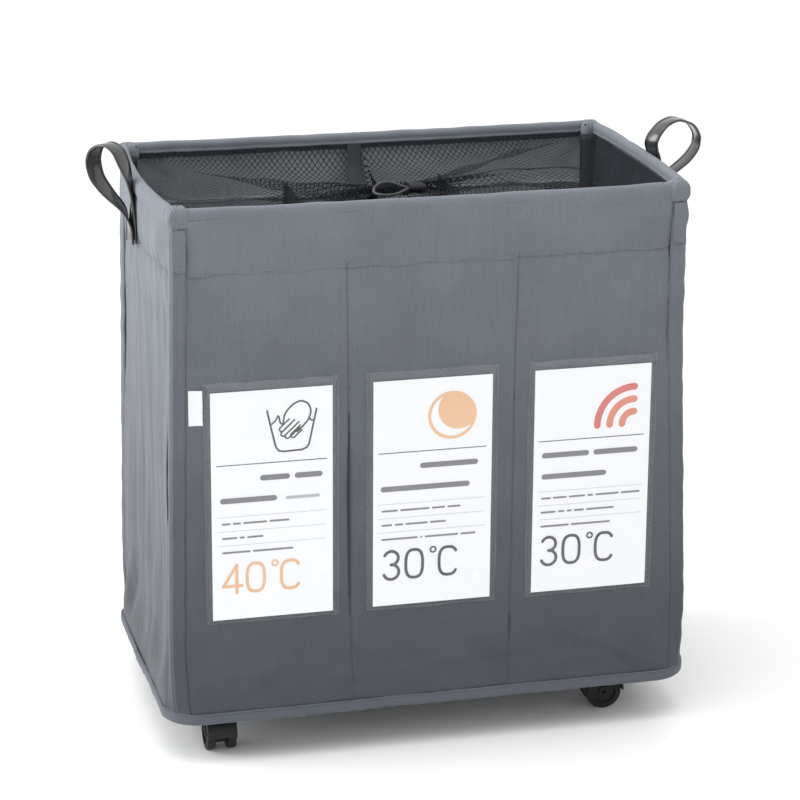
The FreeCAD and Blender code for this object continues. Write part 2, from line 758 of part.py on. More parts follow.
def all_nodes():
    """Every sub-part by name."""
    nodes = {
        "base_board": base_board(),
        "base_cover": base_cover(),
        "base_hem": base_hem(),
        "front_panel": wide_panel(-1),
        "back_panel": wide_panel(1),
        "rim_hem_front": wide_rim_hem(-1),
        "rim_hem_back": wide_rim_hem(1),
        "rim_corner_covers": rim_corner_covers(),
        "rim_rods": rim_rods(),
        "rim_connectors": rim_connectors(),
        "post_feet": post_feet(),
        "mesh_cover": mesh_cover(),
        "drawcord": drawcord(),
        "cord_lock_body": cord_lock_body(),
        "cord_lock_button": cord_lock_button(),
        "cord_lock_spring": cord_lock_spring(),
        "seam_tag": seam_tag(),
        "caster_plates": caster_plates(),
        "caster_screws": caster_screws(),
        "caster_nuts": caster_nuts(),
    }
    for side, sign_x in SIDES.items():
        nodes[f"{side}_panel"] = side_panel(sign_x)
        nodes[f"rim_hem_{side}"] = side_rim_hem(sign_x)
        nodes[f"divider_{side}"] = divider(sign_x)
        nodes[f"handle_{side}_tab"] = handle_tab(sign_x)
        nodes[f"handle_{side}_loop"] = handle_loop(sign_x)
    for name, (sign_x, sign_y) in CORNERS.items():
        nodes[f"corner_sleeve_{name}"] = corner_sleeve(sign_x, sign_y)
        nodes[f"corner_post_{name}"] = corner_post(sign_x, sign_y)
        nodes[f"sleeve_flap_{name}"] = sleeve_flap(sign_x, sign_y)
    for name, centre_x in POCKET_CENTRES_X.items():
        nodes[f"label_pocket_{name}"] = label_pocket(centre_x)
        nodes[f"label_card_{name}"] = label_card(centre_x)
    housing, axle, wheels = caster_housing(), caster_axle(), caster_wheels()
    for name, place in caster_places():
        nodes[f"caster_{name}_housing"] = placed_caster(housing, name, place)
        nodes[f"caster_{name}_axle"] = placed_caster(axle, name, place)
        nodes[f"caster_{name}_wheels"] = placed_caster(wheels, name, place)
    return nodes


os.makedirs("parts", exist_ok=True)
for node, shape in all_nodes().items():
    if not shape.isValid() or shape.Volume <= 0:
        raise ValueError(f"{node} is not a valid solid")
    shape.exportStep(os.path.join("parts", node + ".step"))
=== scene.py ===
"""Rolling fabric laundry sorter with three compartments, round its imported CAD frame.

Lengths are in millimetres and become metres in mesh_piece. Only the cord's route, the handles' hinges, the
camera and the lights are given in metres. +Z up, the label pockets face -Y.
"""
import math

import bpy
import numpy as np
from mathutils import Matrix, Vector


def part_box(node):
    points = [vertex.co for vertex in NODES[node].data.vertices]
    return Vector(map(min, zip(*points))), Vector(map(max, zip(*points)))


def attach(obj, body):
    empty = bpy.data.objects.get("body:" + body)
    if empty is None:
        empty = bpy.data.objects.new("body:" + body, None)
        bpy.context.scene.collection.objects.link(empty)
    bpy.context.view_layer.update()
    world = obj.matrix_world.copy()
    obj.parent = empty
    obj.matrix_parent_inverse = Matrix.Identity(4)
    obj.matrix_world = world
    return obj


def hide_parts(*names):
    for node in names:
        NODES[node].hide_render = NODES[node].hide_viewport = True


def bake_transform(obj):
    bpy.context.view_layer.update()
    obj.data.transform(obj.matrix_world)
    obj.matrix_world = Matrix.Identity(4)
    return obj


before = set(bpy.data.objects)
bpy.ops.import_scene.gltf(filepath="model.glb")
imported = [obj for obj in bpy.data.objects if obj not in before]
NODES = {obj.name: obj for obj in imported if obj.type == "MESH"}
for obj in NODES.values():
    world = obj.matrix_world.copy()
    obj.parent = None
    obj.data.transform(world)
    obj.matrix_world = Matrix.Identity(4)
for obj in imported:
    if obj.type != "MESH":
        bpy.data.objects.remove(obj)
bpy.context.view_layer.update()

MM = 0.001


def box(node):
    """Lowest and highest corner of a CAD node, in millimetres."""
    low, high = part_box(node)
    return np.array(low) / MM, np.array(high) / MM


# Places taken from the frame ------------------------------------------------------------------------

SIDES = {"left": -1, "right": 1}
CORNERS = {"front_left": (-1, -1), "front_right": (1, -1), "back_left": (-1, 1), "back_right": (1, 1)}
HALF_X = box("right_panel")[1][0]
HALF_Y = box("back_panel")[1][1]
SEAM_X = box("front_panel")[1][0]  # where the long panels meet the corner sleeves
SEAM_Y = box("right_panel")[1][1]
RIM_TOP = box("rim_hem_front")[1][2]
RIM_LOW = box("rim_hem_front")[0][2]
HEM_LOW = box("base_hem")[0][2]
HEM_TOP = box("base_hem")[1][2]
HEM_X, HEM_Y = box("base_hem")[1][:2]
HEM_RADIUS = 40.0
DIVIDER_X = box("divider_right")[0][0] + 0.75
DIVIDER_TOP = box("divider_right")[1][2]
POCKETS = {name: box(f"label_pocket_{name}") for name in ("left", "centre", "right")}
CARDS = {name: box(f"label_card_{name}") for name in ("left", "centre", "right")}
BAND_Z = 538.5  # seam under the doubled band at the top of the panels


# Camera ---------------------------------------------------------------------------------------------

CAMERA_LENS = 129.8
CAMERA_AT = (-0.7612, -2.9571, 1.3103)
CAMERA_FORWARD = (0.2392, 0.9225, -0.3031)
CAMERA_ROLL = 0.366  # degrees


def add_camera():
    """Long lens from the front left, a little above the rim."""
    data = bpy.data.cameras.new("camera")
    data.lens = CAMERA_LENS
    data.sensor_width = 36.0
    data.clip_end = 50
    obj = bpy.data.objects.new("camera", data)
    bpy.context.scene.collection.objects.link(obj)
    forward = Vector(CAMERA_FORWARD).normalized()
    right = forward.cross(Vector((0, 0, 1))).normalized()
    up = right.cross(forward)
    roll = math.radians(CAMERA_ROLL)
    right, up = right * math.cos(roll) + up * math.sin(roll), up * math.cos(roll) - right * math.sin(roll)
    matrix = obj.matrix_world.copy()
    for column, axis in enumerate((right, up, -forward)):
        for row in range(3):
            matrix[row][column] = axis[row]
    for row, value in enumerate(CAMERA_AT):
        matrix[row][3] = value
    obj.matrix_world = matrix
    bpy.context.scene.camera = obj


add_camera()


# Mesh helpers ---------------------------------------------------------------------------------------

def waves(seed, size, *coords, terms=7, spread=0.45):
    """Smooth noise near -1..1: seeded sines with wavelengths round size, in any number of dimensions."""
    rng = np.random.default_rng(seed)
    total = 0.0
    for _ in range(terms):
        direction = rng.normal(size=len(coords))
        direction /= np.linalg.norm(direction)
        rate = 2 * math.pi / (size * rng.uniform(1 - spread, 1 + spread))
        phase = rng.uniform(0, 2 * math.pi)
        along = sum(d * np.asarray(c, float) for d, c in zip(direction, coords))
        total = total + np.sin(along * rate + phase)
    return total / math.sqrt(terms)


def bell(x, width):
    """1 at x = 0, falling off over width."""
    return np.exp(-((np.asarray(x, float) / width) ** 2))


def ramp(x, low, high):
    """0 below low, 1 above high, smooth between."""
    t = np.clip((np.asarray(x, float) - low) / (high - low), 0, 1)
    return t * t * (3 - 2 * t)


def mesh_piece(name, verts, faces, materials, body="sorter", smooth=True, face_material=None):
    """A new piece from millimetre points, riding on a body."""
    mesh = bpy.data.meshes.new(name)
    mesh.from_pydata((np.asarray(verts, float) * MM).tolist(), [], [list(f) for f in faces])
    mesh.validate()
    obj = bpy.data.objects.new(name, mesh)
    bpy.context.scene.collection.objects.link(obj)
    for material in materials if isinstance(materials, (list, tuple)) else [materials]:
        mesh.materials.append(material)
    if smooth:
        mesh.polygons.foreach_set("use_smooth", [True] * len(mesh.polygons))
    if face_material is not None:
        mesh.polygons.foreach_set("material_index", list(face_material))
    if body:
        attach(obj, body)
    return obj


def grid_faces(rows, columns, wrap_rows=False, wrap_columns=False, flip=False):
    """Quads over a rows x columns array of points."""
    i = np.arange(rows if wrap_rows else rows - 1)
    j = np.arange(columns if wrap_columns else columns - 1)
    i, j = np.meshgrid(i, j, indexing="ij")
    i2, j2 = (i + 1) % rows, (j + 1) % columns
    quads = np.stack([i * columns + j, i2 * columns + j, i2 * columns + j2, i * columns + j2], -1)
    quads = quads.reshape(-1, 4)
    return quads[:, ::-1] if flip else quads


def thicken(obj, thickness, inside=None):
    """Gives a surface its cloth thickness in millimetres, inwards, and a second material for its inner face
    if one is given.
    """
    modifier = obj.modifiers.new("thickness", "SOLIDIFY")
    modifier.thickness = thickness * MM
    modifier.offset = -1.0
    modifier.use_even_offset = False
    if inside:
        obj.data.materials.append(inside)
        modifier.material_offset = 1
    return obj


def surface_piece(name, points, material, thickness=0.0, flip=False, body="sorter"):
    """A piece from an array of points (rows, columns, 3)."""
    rows, columns = points.shape[:2]
    faces = grid_faces(rows, columns, flip=flip)
    obj = mesh_piece(name, points.reshape(-1, 3), faces, material, body)
    return thicken(obj, thickness) if thickness else obj


def sweep(centres, sides, ups, profile):
    """Points of a profile [(side, up)] or one per station, carried along a line: (stations, profile, 3)."""
    profile = np.asarray(profile, float)
    if profile.ndim == 2:
        profile = np.broadcast_to(profile, (len(centres),) + profile.shape)
    return (
        centres[:, None]
        + profile[..., 0:1] * sides[:, None]
        + profile[..., 1:2] * ups[:, None]
    )


def closed_sweep_piece(name, points, material, body="sorter", flip=False, loop=False):
    """A tube from (stations, profile, 3) points, with its ends capped unless it is a loop."""
    stations, count = points.shape[:2]
    faces = [list(f) for f in grid_faces(stations, count, wrap_rows=loop, wrap_columns=True, flip=flip)]
    if not loop:
        start, end = list(range(count)), list(range((stations - 1) * count, stations * count))
        faces += [start[::-1], end] if flip else [start, end[::-1]]
    return mesh_piece(name, points.reshape(-1, 3), faces, material, body)


def join_meshes(parts):
    """Joins (points, faces) pairs into one pair."""
    verts, faces, base = [], [], 0
    for points, quads in parts:
        points = np.asarray(points, float).reshape(-1, 3)
        verts.append(points)
        faces += [[v + base for v in f] for f in quads]
        base += len(points)
    return np.concatenate(verts), faces


STITCH_FLATNESS = 0.6  # a stitch's height over its width


def capsule(start, end, radius, out):
    """A stitch: a thin rounded thread lying between two points, flattened along out."""
    start, end, out = (np.asarray(v, float) for v in (start, end, out))
    along = end - start
    length = np.linalg.norm(along)
    along = along / length
    out = out - along * out.dot(along)
    out /= np.linalg.norm(out)
    side = np.cross(along, out)
    rings = []
    for t, scale in ((0.0, 0.35), (0.2, 1.0), (0.8, 1.0), (1.0, 0.35)):
        for k in range(6):
            a = 2 * math.pi * k / 6
            swing = side * math.cos(a) + out * math.sin(a) * STITCH_FLATNESS
            rings.append(start + along * length * t + swing * radius * scale)
    faces = [list(f) for f in grid_faces(4, 6, wrap_columns=True)] + [
        [0, 1, 2, 3, 4, 5], [23, 22, 21, 20, 19, 18],
    ]
    return rings, faces


def stitch_row(path, outs, pitch=3.2, fill=0.68, radius=0.28, lift=0.12):
    """Stitches along a line of points, lifted a little off the cloth: (points, faces) pairs."""
    path, outs = np.asarray(path, float), np.asarray(outs, float)
    steps = np.r_[0, np.cumsum(np.linalg.norm(np.diff(path, axis=0), axis=1))]
    parts = []
    for begin in np.arange(0.4, steps[-1] - pitch, pitch):
        ends = []
        for at in (begin, begin + pitch * fill):
            point = np.array([np.interp(at, steps, path[:, k]) for k in range(3)])
            out = np.array([np.interp(at, steps, outs[:, k]) for k in range(3)])
            ends.append(point + out * lift)
        parts.append(capsule(ends[0], ends[1], radius, out))
    return parts


def resample(points, count, closed=False):
    """A Catmull-Rom curve through points, at evenly spaced places."""
    p = np.asarray(points, float)
    if closed:
        p = np.concatenate([p[-1:], p, p[:2]])
    else:
        p = np.concatenate([2 * p[:1] - p[1:2], p, 2 * p[-1:] - p[-2:-1]])
    fine = []
    for i in range(1, len(p) - 2):
        for t in np.linspace(0, 1, 24, endpoint=False):
            a, b, c, d = p[i - 1], p[i], p[i + 1], p[i + 2]
            square, cube = 2 * a - 5 * b + 4 * c - d, 3 * b - a - 3 * c + d
            fine.append(0.5 * (2 * b + (c - a) * t + square * t**2 + cube * t**3))
    fine.append(p[-2])
    fine = np.array(fine)
    steps = np.r_[0, np.cumsum(np.linalg.norm(np.diff(fine[:, :3], axis=0), axis=1))]
    at = np.linspace(0, steps[-1], count, endpoint=not closed)
    return np.stack([np.interp(at, steps, fine[:, k]) for k in range(fine.shape[1])], -1)


def spaced(low, high, step, marks=(), near=8.0, fine=1.0):
    """Places from low to high, step apart and closer together near marks."""
    places, at = [low], low
    while at < high - 1e-6:
        close = min((abs(at - m) for m in marks), default=1e9)
        at += fine if close < near else step
        places.append(min(at, high))
    return np.array(places)


def rounded_rectangle(half_x, half_y, radius, step=4.0):
    """Points round a rounded rectangle anticlockwise from above, with their outward directions."""
    points, outs = [], []
    corners = [(half_x, -half_y, -90), (half_x, half_y, 0), (-half_x, half_y, 90), (-half_x, -half_y, 180)]
    for k, (x, y, start) in enumerate(corners):
        cx, cy = x - math.copysign(radius, x), y - math.copysign(radius, y)
        turns = max(4, int(radius * math.pi / 2 / step) + 1)
        for t in np.linspace(0, 90, turns):
            a = math.radians(start + t)
            points.append((cx + radius * math.cos(a), cy + radius * math.sin(a)))
            outs.append((math.cos(a), math.sin(a)))
        nx, ny, _ = corners[(k + 1) % 4]
        ncx, ncy = nx - math.copysign(radius, nx), ny - math.copysign(radius, ny)
        a = math.radians(start + 90)
        begin = np.array(points[-1])
        finish = np.array((ncx + radius * math.cos(a), ncy + radius * math.sin(a)))
        count = max(2, int(np.linalg.norm(finish - begin) / step))
        for t in np.arange(1, count) / count:
            points.append(tuple(begin + (finish - begin) * t))
            outs.append((math.cos(a), math.sin(a)))
    return np.array(points), np.array(outs)


# Materials ------------------------------------------------------------------------------------------

def shader(name, **settings):
    """A material with one Principled shader, its node tree and that shader."""
    material = bpy.data.materials.new(name)
    material.use_nodes = True
    tree = material.node_tree
    tree.nodes.clear()
    output = tree.nodes.new("ShaderNodeOutputMaterial")
    surface = tree.nodes.new("ShaderNodeBsdfPrincipled")
    tree.links.new(surface.outputs[0], output.inputs[0])
    for key, value in settings.items():
        surface.inputs[key.replace("_", " ")].default_value = value
    return material, tree, surface


def put(tree, kind, inputs=None, **properties):
    """Adds a node. An input is a value, or another node's output to link."""
    node = tree.nodes.new("ShaderNode" + kind)
    for key, value in properties.items():
        setattr(node, key, value)
    for key, value in (inputs or {}).items():
        if isinstance(value, bpy.types.NodeSocket):
            tree.links.new(value, node.inputs[key])
        else:
            node.inputs[key].default_value = value
    return node


def calc(tree, operation, first, second=0.0, third=0.0):
    """The result of a Math node."""
    return put(tree, "Math", {0: first, 1: second, 2: third}, operation=operation).outputs[0]


def place(tree):
    """Object coordinates, which are the row frame in metres."""
    return put(tree, "TexCoord").outputs["Object"]


def noise(tree, where, size_mm, detail=3.0, rough=0.55, distortion=0.0):
    """Noise with features of about size_mm, from 0 to 1."""
    inputs = {"Vector": where, "Scale": 1 / (size_mm * MM), "Detail": detail, "Roughness": rough}
    inputs["Distortion"] = distortion
    return put(tree, "TexNoise", inputs).outputs[0]


def blend_colour(tree, share, first, second):
    """Colour between two, by a 0 to 1 share."""
    node = put(tree, "ValToRGB", {"Fac": share})
    node.color_ramp.elements[0].color = (*first, 1)
    node.color_ramp.elements[1].color = (*second, 1)
    return node.outputs[0]


def span(tree, value, low, high):
    """Maps 0..1 to low..high."""
    return calc(tree, "MULTIPLY_ADD", value, high - low, low)


def relief(tree, surface, height, depth_mm, strength=1.0):
    """Bump of a 0 to 1 height."""
    bump = put(tree, "Bump", {"Strength": strength, "Distance": depth_mm * MM, "Height": height})
    tree.links.new(bump.outputs[0], surface.inputs["Normal"])


def ripple(tree, value, pitch_mm):
    """A sine of a length in metres, from -1 to 1."""
    return calc(tree, "SINE", calc(tree, "MULTIPLY", value, 2 * math.pi / (pitch_mm * MM)))


def cloth(
    name, dark, light, pitch=2.3, depth=0.24, rough=0.78, sheen=0.12, streaks=0.6, foot=1.0, shine=0.22,
):
    """Woven polyester: diagonal twill lines, crossing threads, faint streaks along the warp, uneven tone
    and painted shade towards the floor.

    foot is the share of its brightness that the cloth keeps at the floor end: painted shade, darker towards
    the bottom.
    """
    material, tree, surface = shader(name, Sheen_Weight=sheen, Sheen_Roughness=0.5)
    surface.inputs["Specular IOR Level"].default_value = shine
    where = place(tree)
    axes = put(tree, "SeparateXYZ", {0: where}).outputs
    across = calc(tree, "ADD", axes[0], axes[1])
    twill = ripple(tree, calc(tree, "ADD", calc(tree, "MULTIPLY", across, 0.55), axes[2]), pitch)
    weft = ripple(tree, axes[2], pitch * 0.86)
    warp = ripple(tree, across, pitch * 1.12)
    threads = calc(tree, "MULTIPLY", weft, warp)
    weave = calc(tree, "ADD", calc(tree, "MULTIPLY", twill, 0.28), calc(tree, "MULTIPLY", threads, 0.24))
    weave = calc(tree, "ADD", weave, 0.5)
    stretched = put(tree, "Mapping", {"Vector": where, "Scale": (1.0, 1.0, 0.07)}).outputs[0]
    streak = noise(tree, stretched, 2.6, 2.0)
    cloud = noise(tree, where, 70.0, 3.0)
    fuzz = noise(tree, where, 1.6, 2.0)
    share = calc(tree, "MULTIPLY", weave, 0.6)
    for part, weight in ((streak, 0.26 * streaks), (cloud, 0.32), (fuzz, 0.22)):
        share = calc(tree, "ADD", share, calc(tree, "MULTIPLY", part, weight))
    colour = blend_colour(tree, share, dark, light)
    # Painted shade: the colour darkens towards the floor end.
    if foot < 1:
        fade = put(tree, "MapRange", {0: axes[2], 1: 0.07, 2: 0.60, 3: foot, 4: 1.0}).outputs[0]
        shaded = put(tree, "VectorMath", {0: colour}, operation="SCALE")
        tree.links.new(fade, shaded.inputs["Scale"])
        colour = shaded.outputs[0]
    tree.links.new(colour, surface.inputs["Base Color"])
    tree.links.new(span(tree, fuzz, rough - 0.08, rough + 0.12), surface.inputs["Roughness"])
    height = calc(tree, "ADD", calc(tree, "MULTIPLY", weave, 0.8), calc(tree, "MULTIPLY", fuzz, 0.35))
    relief(tree, surface, height, depth, 0.7)
    return material


def grained(
    name, dark, light, size=1.2, depth=0.08, rough=(0.3, 0.45), metal=0.0, coat=0.0, wear=60.0, sheen=0.0,
    shine=0.5,
):
    """Moulded plastic, metal or leatherette: fine grain, cloudy colour and varied gloss."""
    material, tree, surface = shader(
        name, Metallic=metal, Coat_Weight=coat, Coat_Roughness=0.15, Sheen_Weight=sheen,
    )
    surface.inputs["Specular IOR Level"].default_value = shine
    where = place(tree)
    grain = noise(tree, where, size, 4.0, 0.6)
    cloud = noise(tree, where, wear, 4.0, 0.6)
    share = calc(tree, "ADD", calc(tree, "MULTIPLY", grain, 0.5), calc(tree, "MULTIPLY", cloud, 0.5))
    tree.links.new(blend_colour(tree, share, dark, light), surface.inputs["Base Color"])
    tree.links.new(span(tree, share, *rough), surface.inputs["Roughness"])
    relief(tree, surface, grain, depth, 0.5)
    return material


def braid(name, dark, light, pitch=1.6):
    """Braided cord: two crossing sets of diagonal strands."""
    material, tree, surface = shader(name, Roughness=0.5, Sheen_Weight=0.1)
    where = place(tree)
    axes = put(tree, "SeparateXYZ", {0: where}).outputs
    one = ripple(tree, calc(tree, "ADD", axes[0], calc(tree, "ADD", axes[1], axes[2])), pitch)
    two = ripple(tree, calc(tree, "SUBTRACT", axes[0], calc(tree, "ADD", axes[1], axes[2])), pitch)
    strands = span(tree, calc(tree, "MULTIPLY", one, two), 0.5, 1.0)
    fuzz = noise(tree, where, 0.5, 2.0)
    share = calc(tree, "ADD", calc(tree, "MULTIPLY", strands, 0.6), calc(tree, "MULTIPLY", fuzz, 0.4))
    tree.links.new(blend_colour(tree, share, dark, light), surface.inputs["Base Color"])
    relief(tree, surface, share, 0.2, 0.8)
    return material


def printed(name, colour, second=None, size=30.0):
    """Ink on card: a little uneven, with an optional second colour that it drifts to."""
    material, tree, surface = shader(name)
    where = place(tree)
    speckle = noise(tree, where, 0.7, 3.0)
    drift = noise(tree, where, size, 1.0)
    share = calc(tree, "ADD", calc(tree, "MULTIPLY", speckle, 0.25), calc(tree, "MULTIPLY", drift, 0.75))
    second = second or tuple(min(1.0, c * 1.25 + 0.01) for c in colour)
    tree.links.new(blend_colour(tree, share, colour, second), surface.inputs["Base Color"])
    tree.links.new(span(tree, speckle, 0.45, 0.6), surface.inputs["Roughness"])
    return material


FILM_GLOSS = 0.021  # share of light that the film's face mirrors, seen straight on


def clear_film(name):
    """Soft clear vinyl: see-through, with the gloss of its surface and a little haze."""
    material, tree, surface = shader(name, Metallic=1.0)
    where = place(tree)
    crinkle = noise(tree, where, 16.0, 4.0, 0.5, 0.6)
    haze = noise(tree, where, 45.0, 3.0)
    tree.links.new(
        blend_colour(tree, haze, (0.86, 0.87, 0.88), (0.97, 0.975, 0.98)), surface.inputs["Base Color"],
    )
    tree.links.new(span(tree, haze, 0.06, 0.15), surface.inputs["Roughness"])
    relief(tree, surface, crinkle, 1.1, 0.6)
    clear = put(tree, "BsdfTransparent", {"Color": (0.985, 0.987, 0.99, 1)}).outputs[0]
    slant = put(tree, "LayerWeight", {"Blend": 0.5}).outputs["Facing"]
    steep = calc(tree, "POWER", slant, 5.0)
    gloss = calc(tree, "MULTIPLY_ADD", steep, 0.95, FILM_GLOSS)  # the same from both faces
    share = calc(tree, "ADD", gloss, span(tree, haze, 0.0, 0.02))
    mix = put(tree, "MixShader", {0: share, 1: clear, 2: surface.outputs[0]})
    tree.links.new(mix.outputs[0], tree.nodes["Material Output"].inputs[0])
    return material


# The outer cloth's foot=0.42 is painted shade, darker towards the floor.
FABRIC = cloth("fabric", (0.036, 0.041, 0.050), (0.208, 0.229, 0.258), foot=0.42)
# Painted shade: the same cloth as outside, darkened for the shade inside the sorter; used on inner faces,
# dividers and the base cover.
SHADED_FABRIC = cloth("fabric_inside_painted_shade", (0.018, 0.022, 0.026), (0.066, 0.075, 0.086), sheen=0.0, shine=0.06)
# Painted light: the back wall's inner face, the same cloth lightened to stand for the light that falls on
# it from above.
BACK_FABRIC_PAINTED_LIGHT = cloth("fabric_back_inside_painted_light", (0.150, 0.166, 0.182), (0.44, 0.475, 0.51), sheen=0.0, shine=0.06)
TAPE = cloth("hem_tape", (0.050, 0.056, 0.068), (0.122, 0.134, 0.158), pitch=2.6, depth=0.22, streaks=0.2)
THREAD = braid("thread", (0.11, 0.125, 0.145), (0.26, 0.28, 0.31), 0.8)
DARK_THREAD = braid("dark_thread", (0.02, 0.022, 0.026), (0.055, 0.06, 0.07), 0.8)
NET = grained(
    "net_yarn", (0.006, 0.0065, 0.008), (0.022, 0.024, 0.029), 0.7, 0.1, (0.6, 0.8), wear=25.0, shine=0.05,
)
NET_TAPE = grained(
    "net_tape", (0.018, 0.020, 0.023), (0.048, 0.053, 0.060), 0.7, 0.1, (0.6, 0.8), wear=25.0, shine=0.05,
)
CORD = braid("cord", (0.012, 0.012, 0.014), (0.06, 0.062, 0.068))
PLASTIC = grained(
    "black_plastic", (0.006, 0.0065, 0.008), (0.015, 0.016, 0.018), 0.6, 0.05, (0.42, 0.62), shine=0.3,
)
WHEEL = grained(
    "wheel_plastic", (0.007, 0.0075, 0.009), (0.020, 0.021, 0.024), 1.0, 0.06, (0.45, 0.7), wear=14.0,
    shine=0.25,
)
ZINC = grained("zinc", (0.42, 0.43, 0.44), (0.66, 0.67, 0.68), 2.0, 0.03, (0.28, 0.5), metal=1.0, wear=9.0)
STEEL = grained(
    "steel", (0.30, 0.31, 0.32), (0.52, 0.53, 0.55), 1.5, 0.03, (0.3, 0.5), metal=1.0, wear=40.0,
)
BOARD = grained("board", (0.16, 0.15, 0.14), (0.30, 0.29, 0.27), 2.5, 0.12, (0.7, 0.9))
STRAP = grained(
    "strap", (0.022, 0.023, 0.025), (0.060, 0.062, 0.066), 1.1, 0.1, (0.18, 0.32), coat=0.6, wear=35.0,
)
STRAP_EDGE = grained(
    "strap_edge", (0.006, 0.006, 0.007), (0.016, 0.017, 0.018), 1.1, 0.06, (0.22, 0.36), coat=0.4,
)
PAPER = grained("card", (0.89, 0.893, 0.897), (0.945, 0.948, 0.95), 1.4, 0.03, (0.5, 0.65), wear=90.0)
TAG = cloth("tag", (0.62, 0.63, 0.64), (0.86, 0.87, 0.88), pitch=0.9, depth=0.05, sheen=0.05)
FILM = clear_film("clear_film")
DARK_INK = printed("dark_ink", (0.050, 0.051, 0.055))
GREY_INK = printed("grey_ink", (0.17, 0.17, 0.175))
RULE_INK = printed("rule_ink", (0.40, 0.40, 0.405))
ORANGE_INK = printed("orange_ink", (0.79, 0.43, 0.22), (0.86, 0.53, 0.33))
MOON_INK = printed("moon_ink", (0.80, 0.47, 0.25), (0.88, 0.57, 0.36))
RED_INK = printed("red_ink", (0.66, 0.13, 0.14), (0.72, 0.22, 0.17), 24.0)
CORAL_INK = printed("coral_ink", (0.70, 0.20, 0.14), (0.78, 0.31, 0.19), 24.0)


def refinish(material, *nodes):
    """Gives carried-over CAD nodes a detailed material."""
    for node in nodes:
        slots = NODES[node].material_slots
        if not slots:
            NODES[node].data.materials.append(material)
        for entry in slots:
            entry.material = material


refinish(BOARD, "base_board")
refinish(STEEL, *(f"corner_post_{c}" for c in CORNERS))
refinish(PLASTIC, "rim_connectors", "post_feet", "cord_lock_body", "cord_lock_button")
refinish(PLASTIC, *(f"caster_{c}_housing" for c in CORNERS))
refinish(WHEEL, *(f"caster_{c}_{part}" for c in CORNERS for part in ("wheels", "axle")))
refinish(ZINC, "cord_lock_spring", "caster_plates", "caster_screws", "caster_nuts")
refinish(PAPER, *(f"label_card_{p}" for p in POCKETS))


# Drawcord -------------------------------------------------------------------------------------------

CORD_ROUTE = [  # metres, as in the CAD
    (0.0061, -0.0248, 0.5864),
    (-0.0015, -0.0232, 0.5886),
    (-0.0100, -0.0210, 0.5920),
    (-0.0195, -0.0208, 0.5932),
    (-0.0280, -0.0238, 0.5910),
    (-0.0340, -0.0310, 0.5874),
    (-0.0340, -0.0400, 0.5854),
    (-0.0270, -0.0465, 0.5848),
    (-0.0175, -0.0472, 0.5848),
    (-0.0085, -0.0430, 0.5850),
    (-0.0010, -0.0355, 0.5858),
    (0.0061, -0.0294, 0.5864),
]


def add_drawcord():
    """The free loop of the drawcord, out of its lock and back in."""
    curve = bpy.data.curves.new("drawcord_loop", "CURVE")
    curve.dimensions = "3D"
    curve.bevel_depth = 0.0015
    curve.bevel_resolution = 5
    curve.resolution_u = 12
    curve.use_fill_caps = True
    line = curve.splines.new("NURBS")
    line.points.add(len(CORD_ROUTE) - 1)
    for point, where in zip(line.points, CORD_ROUTE):
        point.co = (*where, 1)
    line.order_u = 3
    line.use_endpoint_u = True
    curve.materials.append(CORD)
    obj = bpy.data.objects.new("drawcord_loop", curve)
    bpy.context.scene.collection.objects.link(obj)
    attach(obj, "sorter")
    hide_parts("drawcord")


add_drawcord()


# Cloth walls ----------------------------------------------------------------------------------------

HEM_WALL = 1.6
HEM_SHIFT = {"left": 3.0, "right": 9.0}  # the hem lies this much further out than in the CAD
LINE_TOP = (-93.0, 92.0)  # divider seams on the front, at the top and at the foot
LINE_FOOT = (-84.8, 83.4)
BOW = {"left": 9.5, "right": 7.5, "front": 0.0, "back": 2.0}  # how far the rim bows out between corners


def outset_to_hem(u, half, hem_half, other_hem_half):
    """How far the hem's inner outline stands outside a wall, at u along the wall."""
    radius = HEM_RADIUS - HEM_WALL
    flat = other_hem_half - HEM_RADIUS
    beyond = np.clip(np.abs(u) - flat, 0, radius)
    return np.maximum(hem_half - HEM_RADIUS + np.sqrt(radius**2 - beyond**2) - half, 0.0)


def flare(z):
    """Share of the outset to the hem that the cloth has taken at height z."""
    return np.clip((132 - np.asarray(z, float)) / (132 - HEM_TOP), 0, 1) ** 2.4


def widening(x, z):
    """How far the cloth stands outside the frame at each end: the body spreads towards its foot."""
    left = np.asarray(x, float) < 0
    z = np.asarray(z, float)
    high = np.where(left, 7.0 * np.clip((560 - z) / 410, 0, 1), 12.0 * np.clip((440 - z) / 290, 0, 1))
    return high * (1 - flare(z)) + np.where(left, HEM_SHIFT["left"], HEM_SHIFT["right"]) * flare(z)


def spread(u, z):
    """Where a point at u on a long wall comes to lie, with the widening."""
    u = np.asarray(u, float)
    return u + u / SEAM_X * widening(u, z)


def hem_place(x):
    """Where a point at x on the hem's outline comes to lie."""
    x = np.asarray(x, float)
    return x + np.where(x < 0, HEM_SHIFT["left"], HEM_SHIFT["right"]) * x / HEM_X


def rim_bow(side, u):
    """How far the rim stands outside its wall's plane."""
    half = SEAM_X if side in ("front", "back") else SEAM_Y
    return BOW[side] * np.clip(1 - (np.asarray(u, float) / (half + 6)) ** 2, 0, 1)


def seam_line(k, z):
    """Where divider seam k (0 or 1) runs on the long walls."""
    t = np.clip((np.asarray(z, float) - HEM_TOP) / (545 - HEM_TOP), 0, 1)
    return LINE_FOOT[k] + (LINE_TOP[k] - LINE_FOOT[k]) * t


def pocket_calm(u, z):
    """1 in the open, small behind the label pockets, where the cards hold the cloth flat."""
    calm = np.ones(np.broadcast(u, z).shape)
    for low, high in POCKETS.values():
        inside = ramp(u, low[0] - 14, low[0] + 4) * (1 - ramp(u, high[0] - 4, high[0] + 14))
        inside = inside * ramp(z, low[2] - 16, low[2] + 4) * (1 - ramp(z, high[2] - 2, high[2] + 22))
        calm = calm * (1 - 0.85 * inside)
    return calm


CARD_ROOM = -CARDS["centre"][1][1] - HALF_Y - 0.4  # the cloth stays this close to its plane behind a card


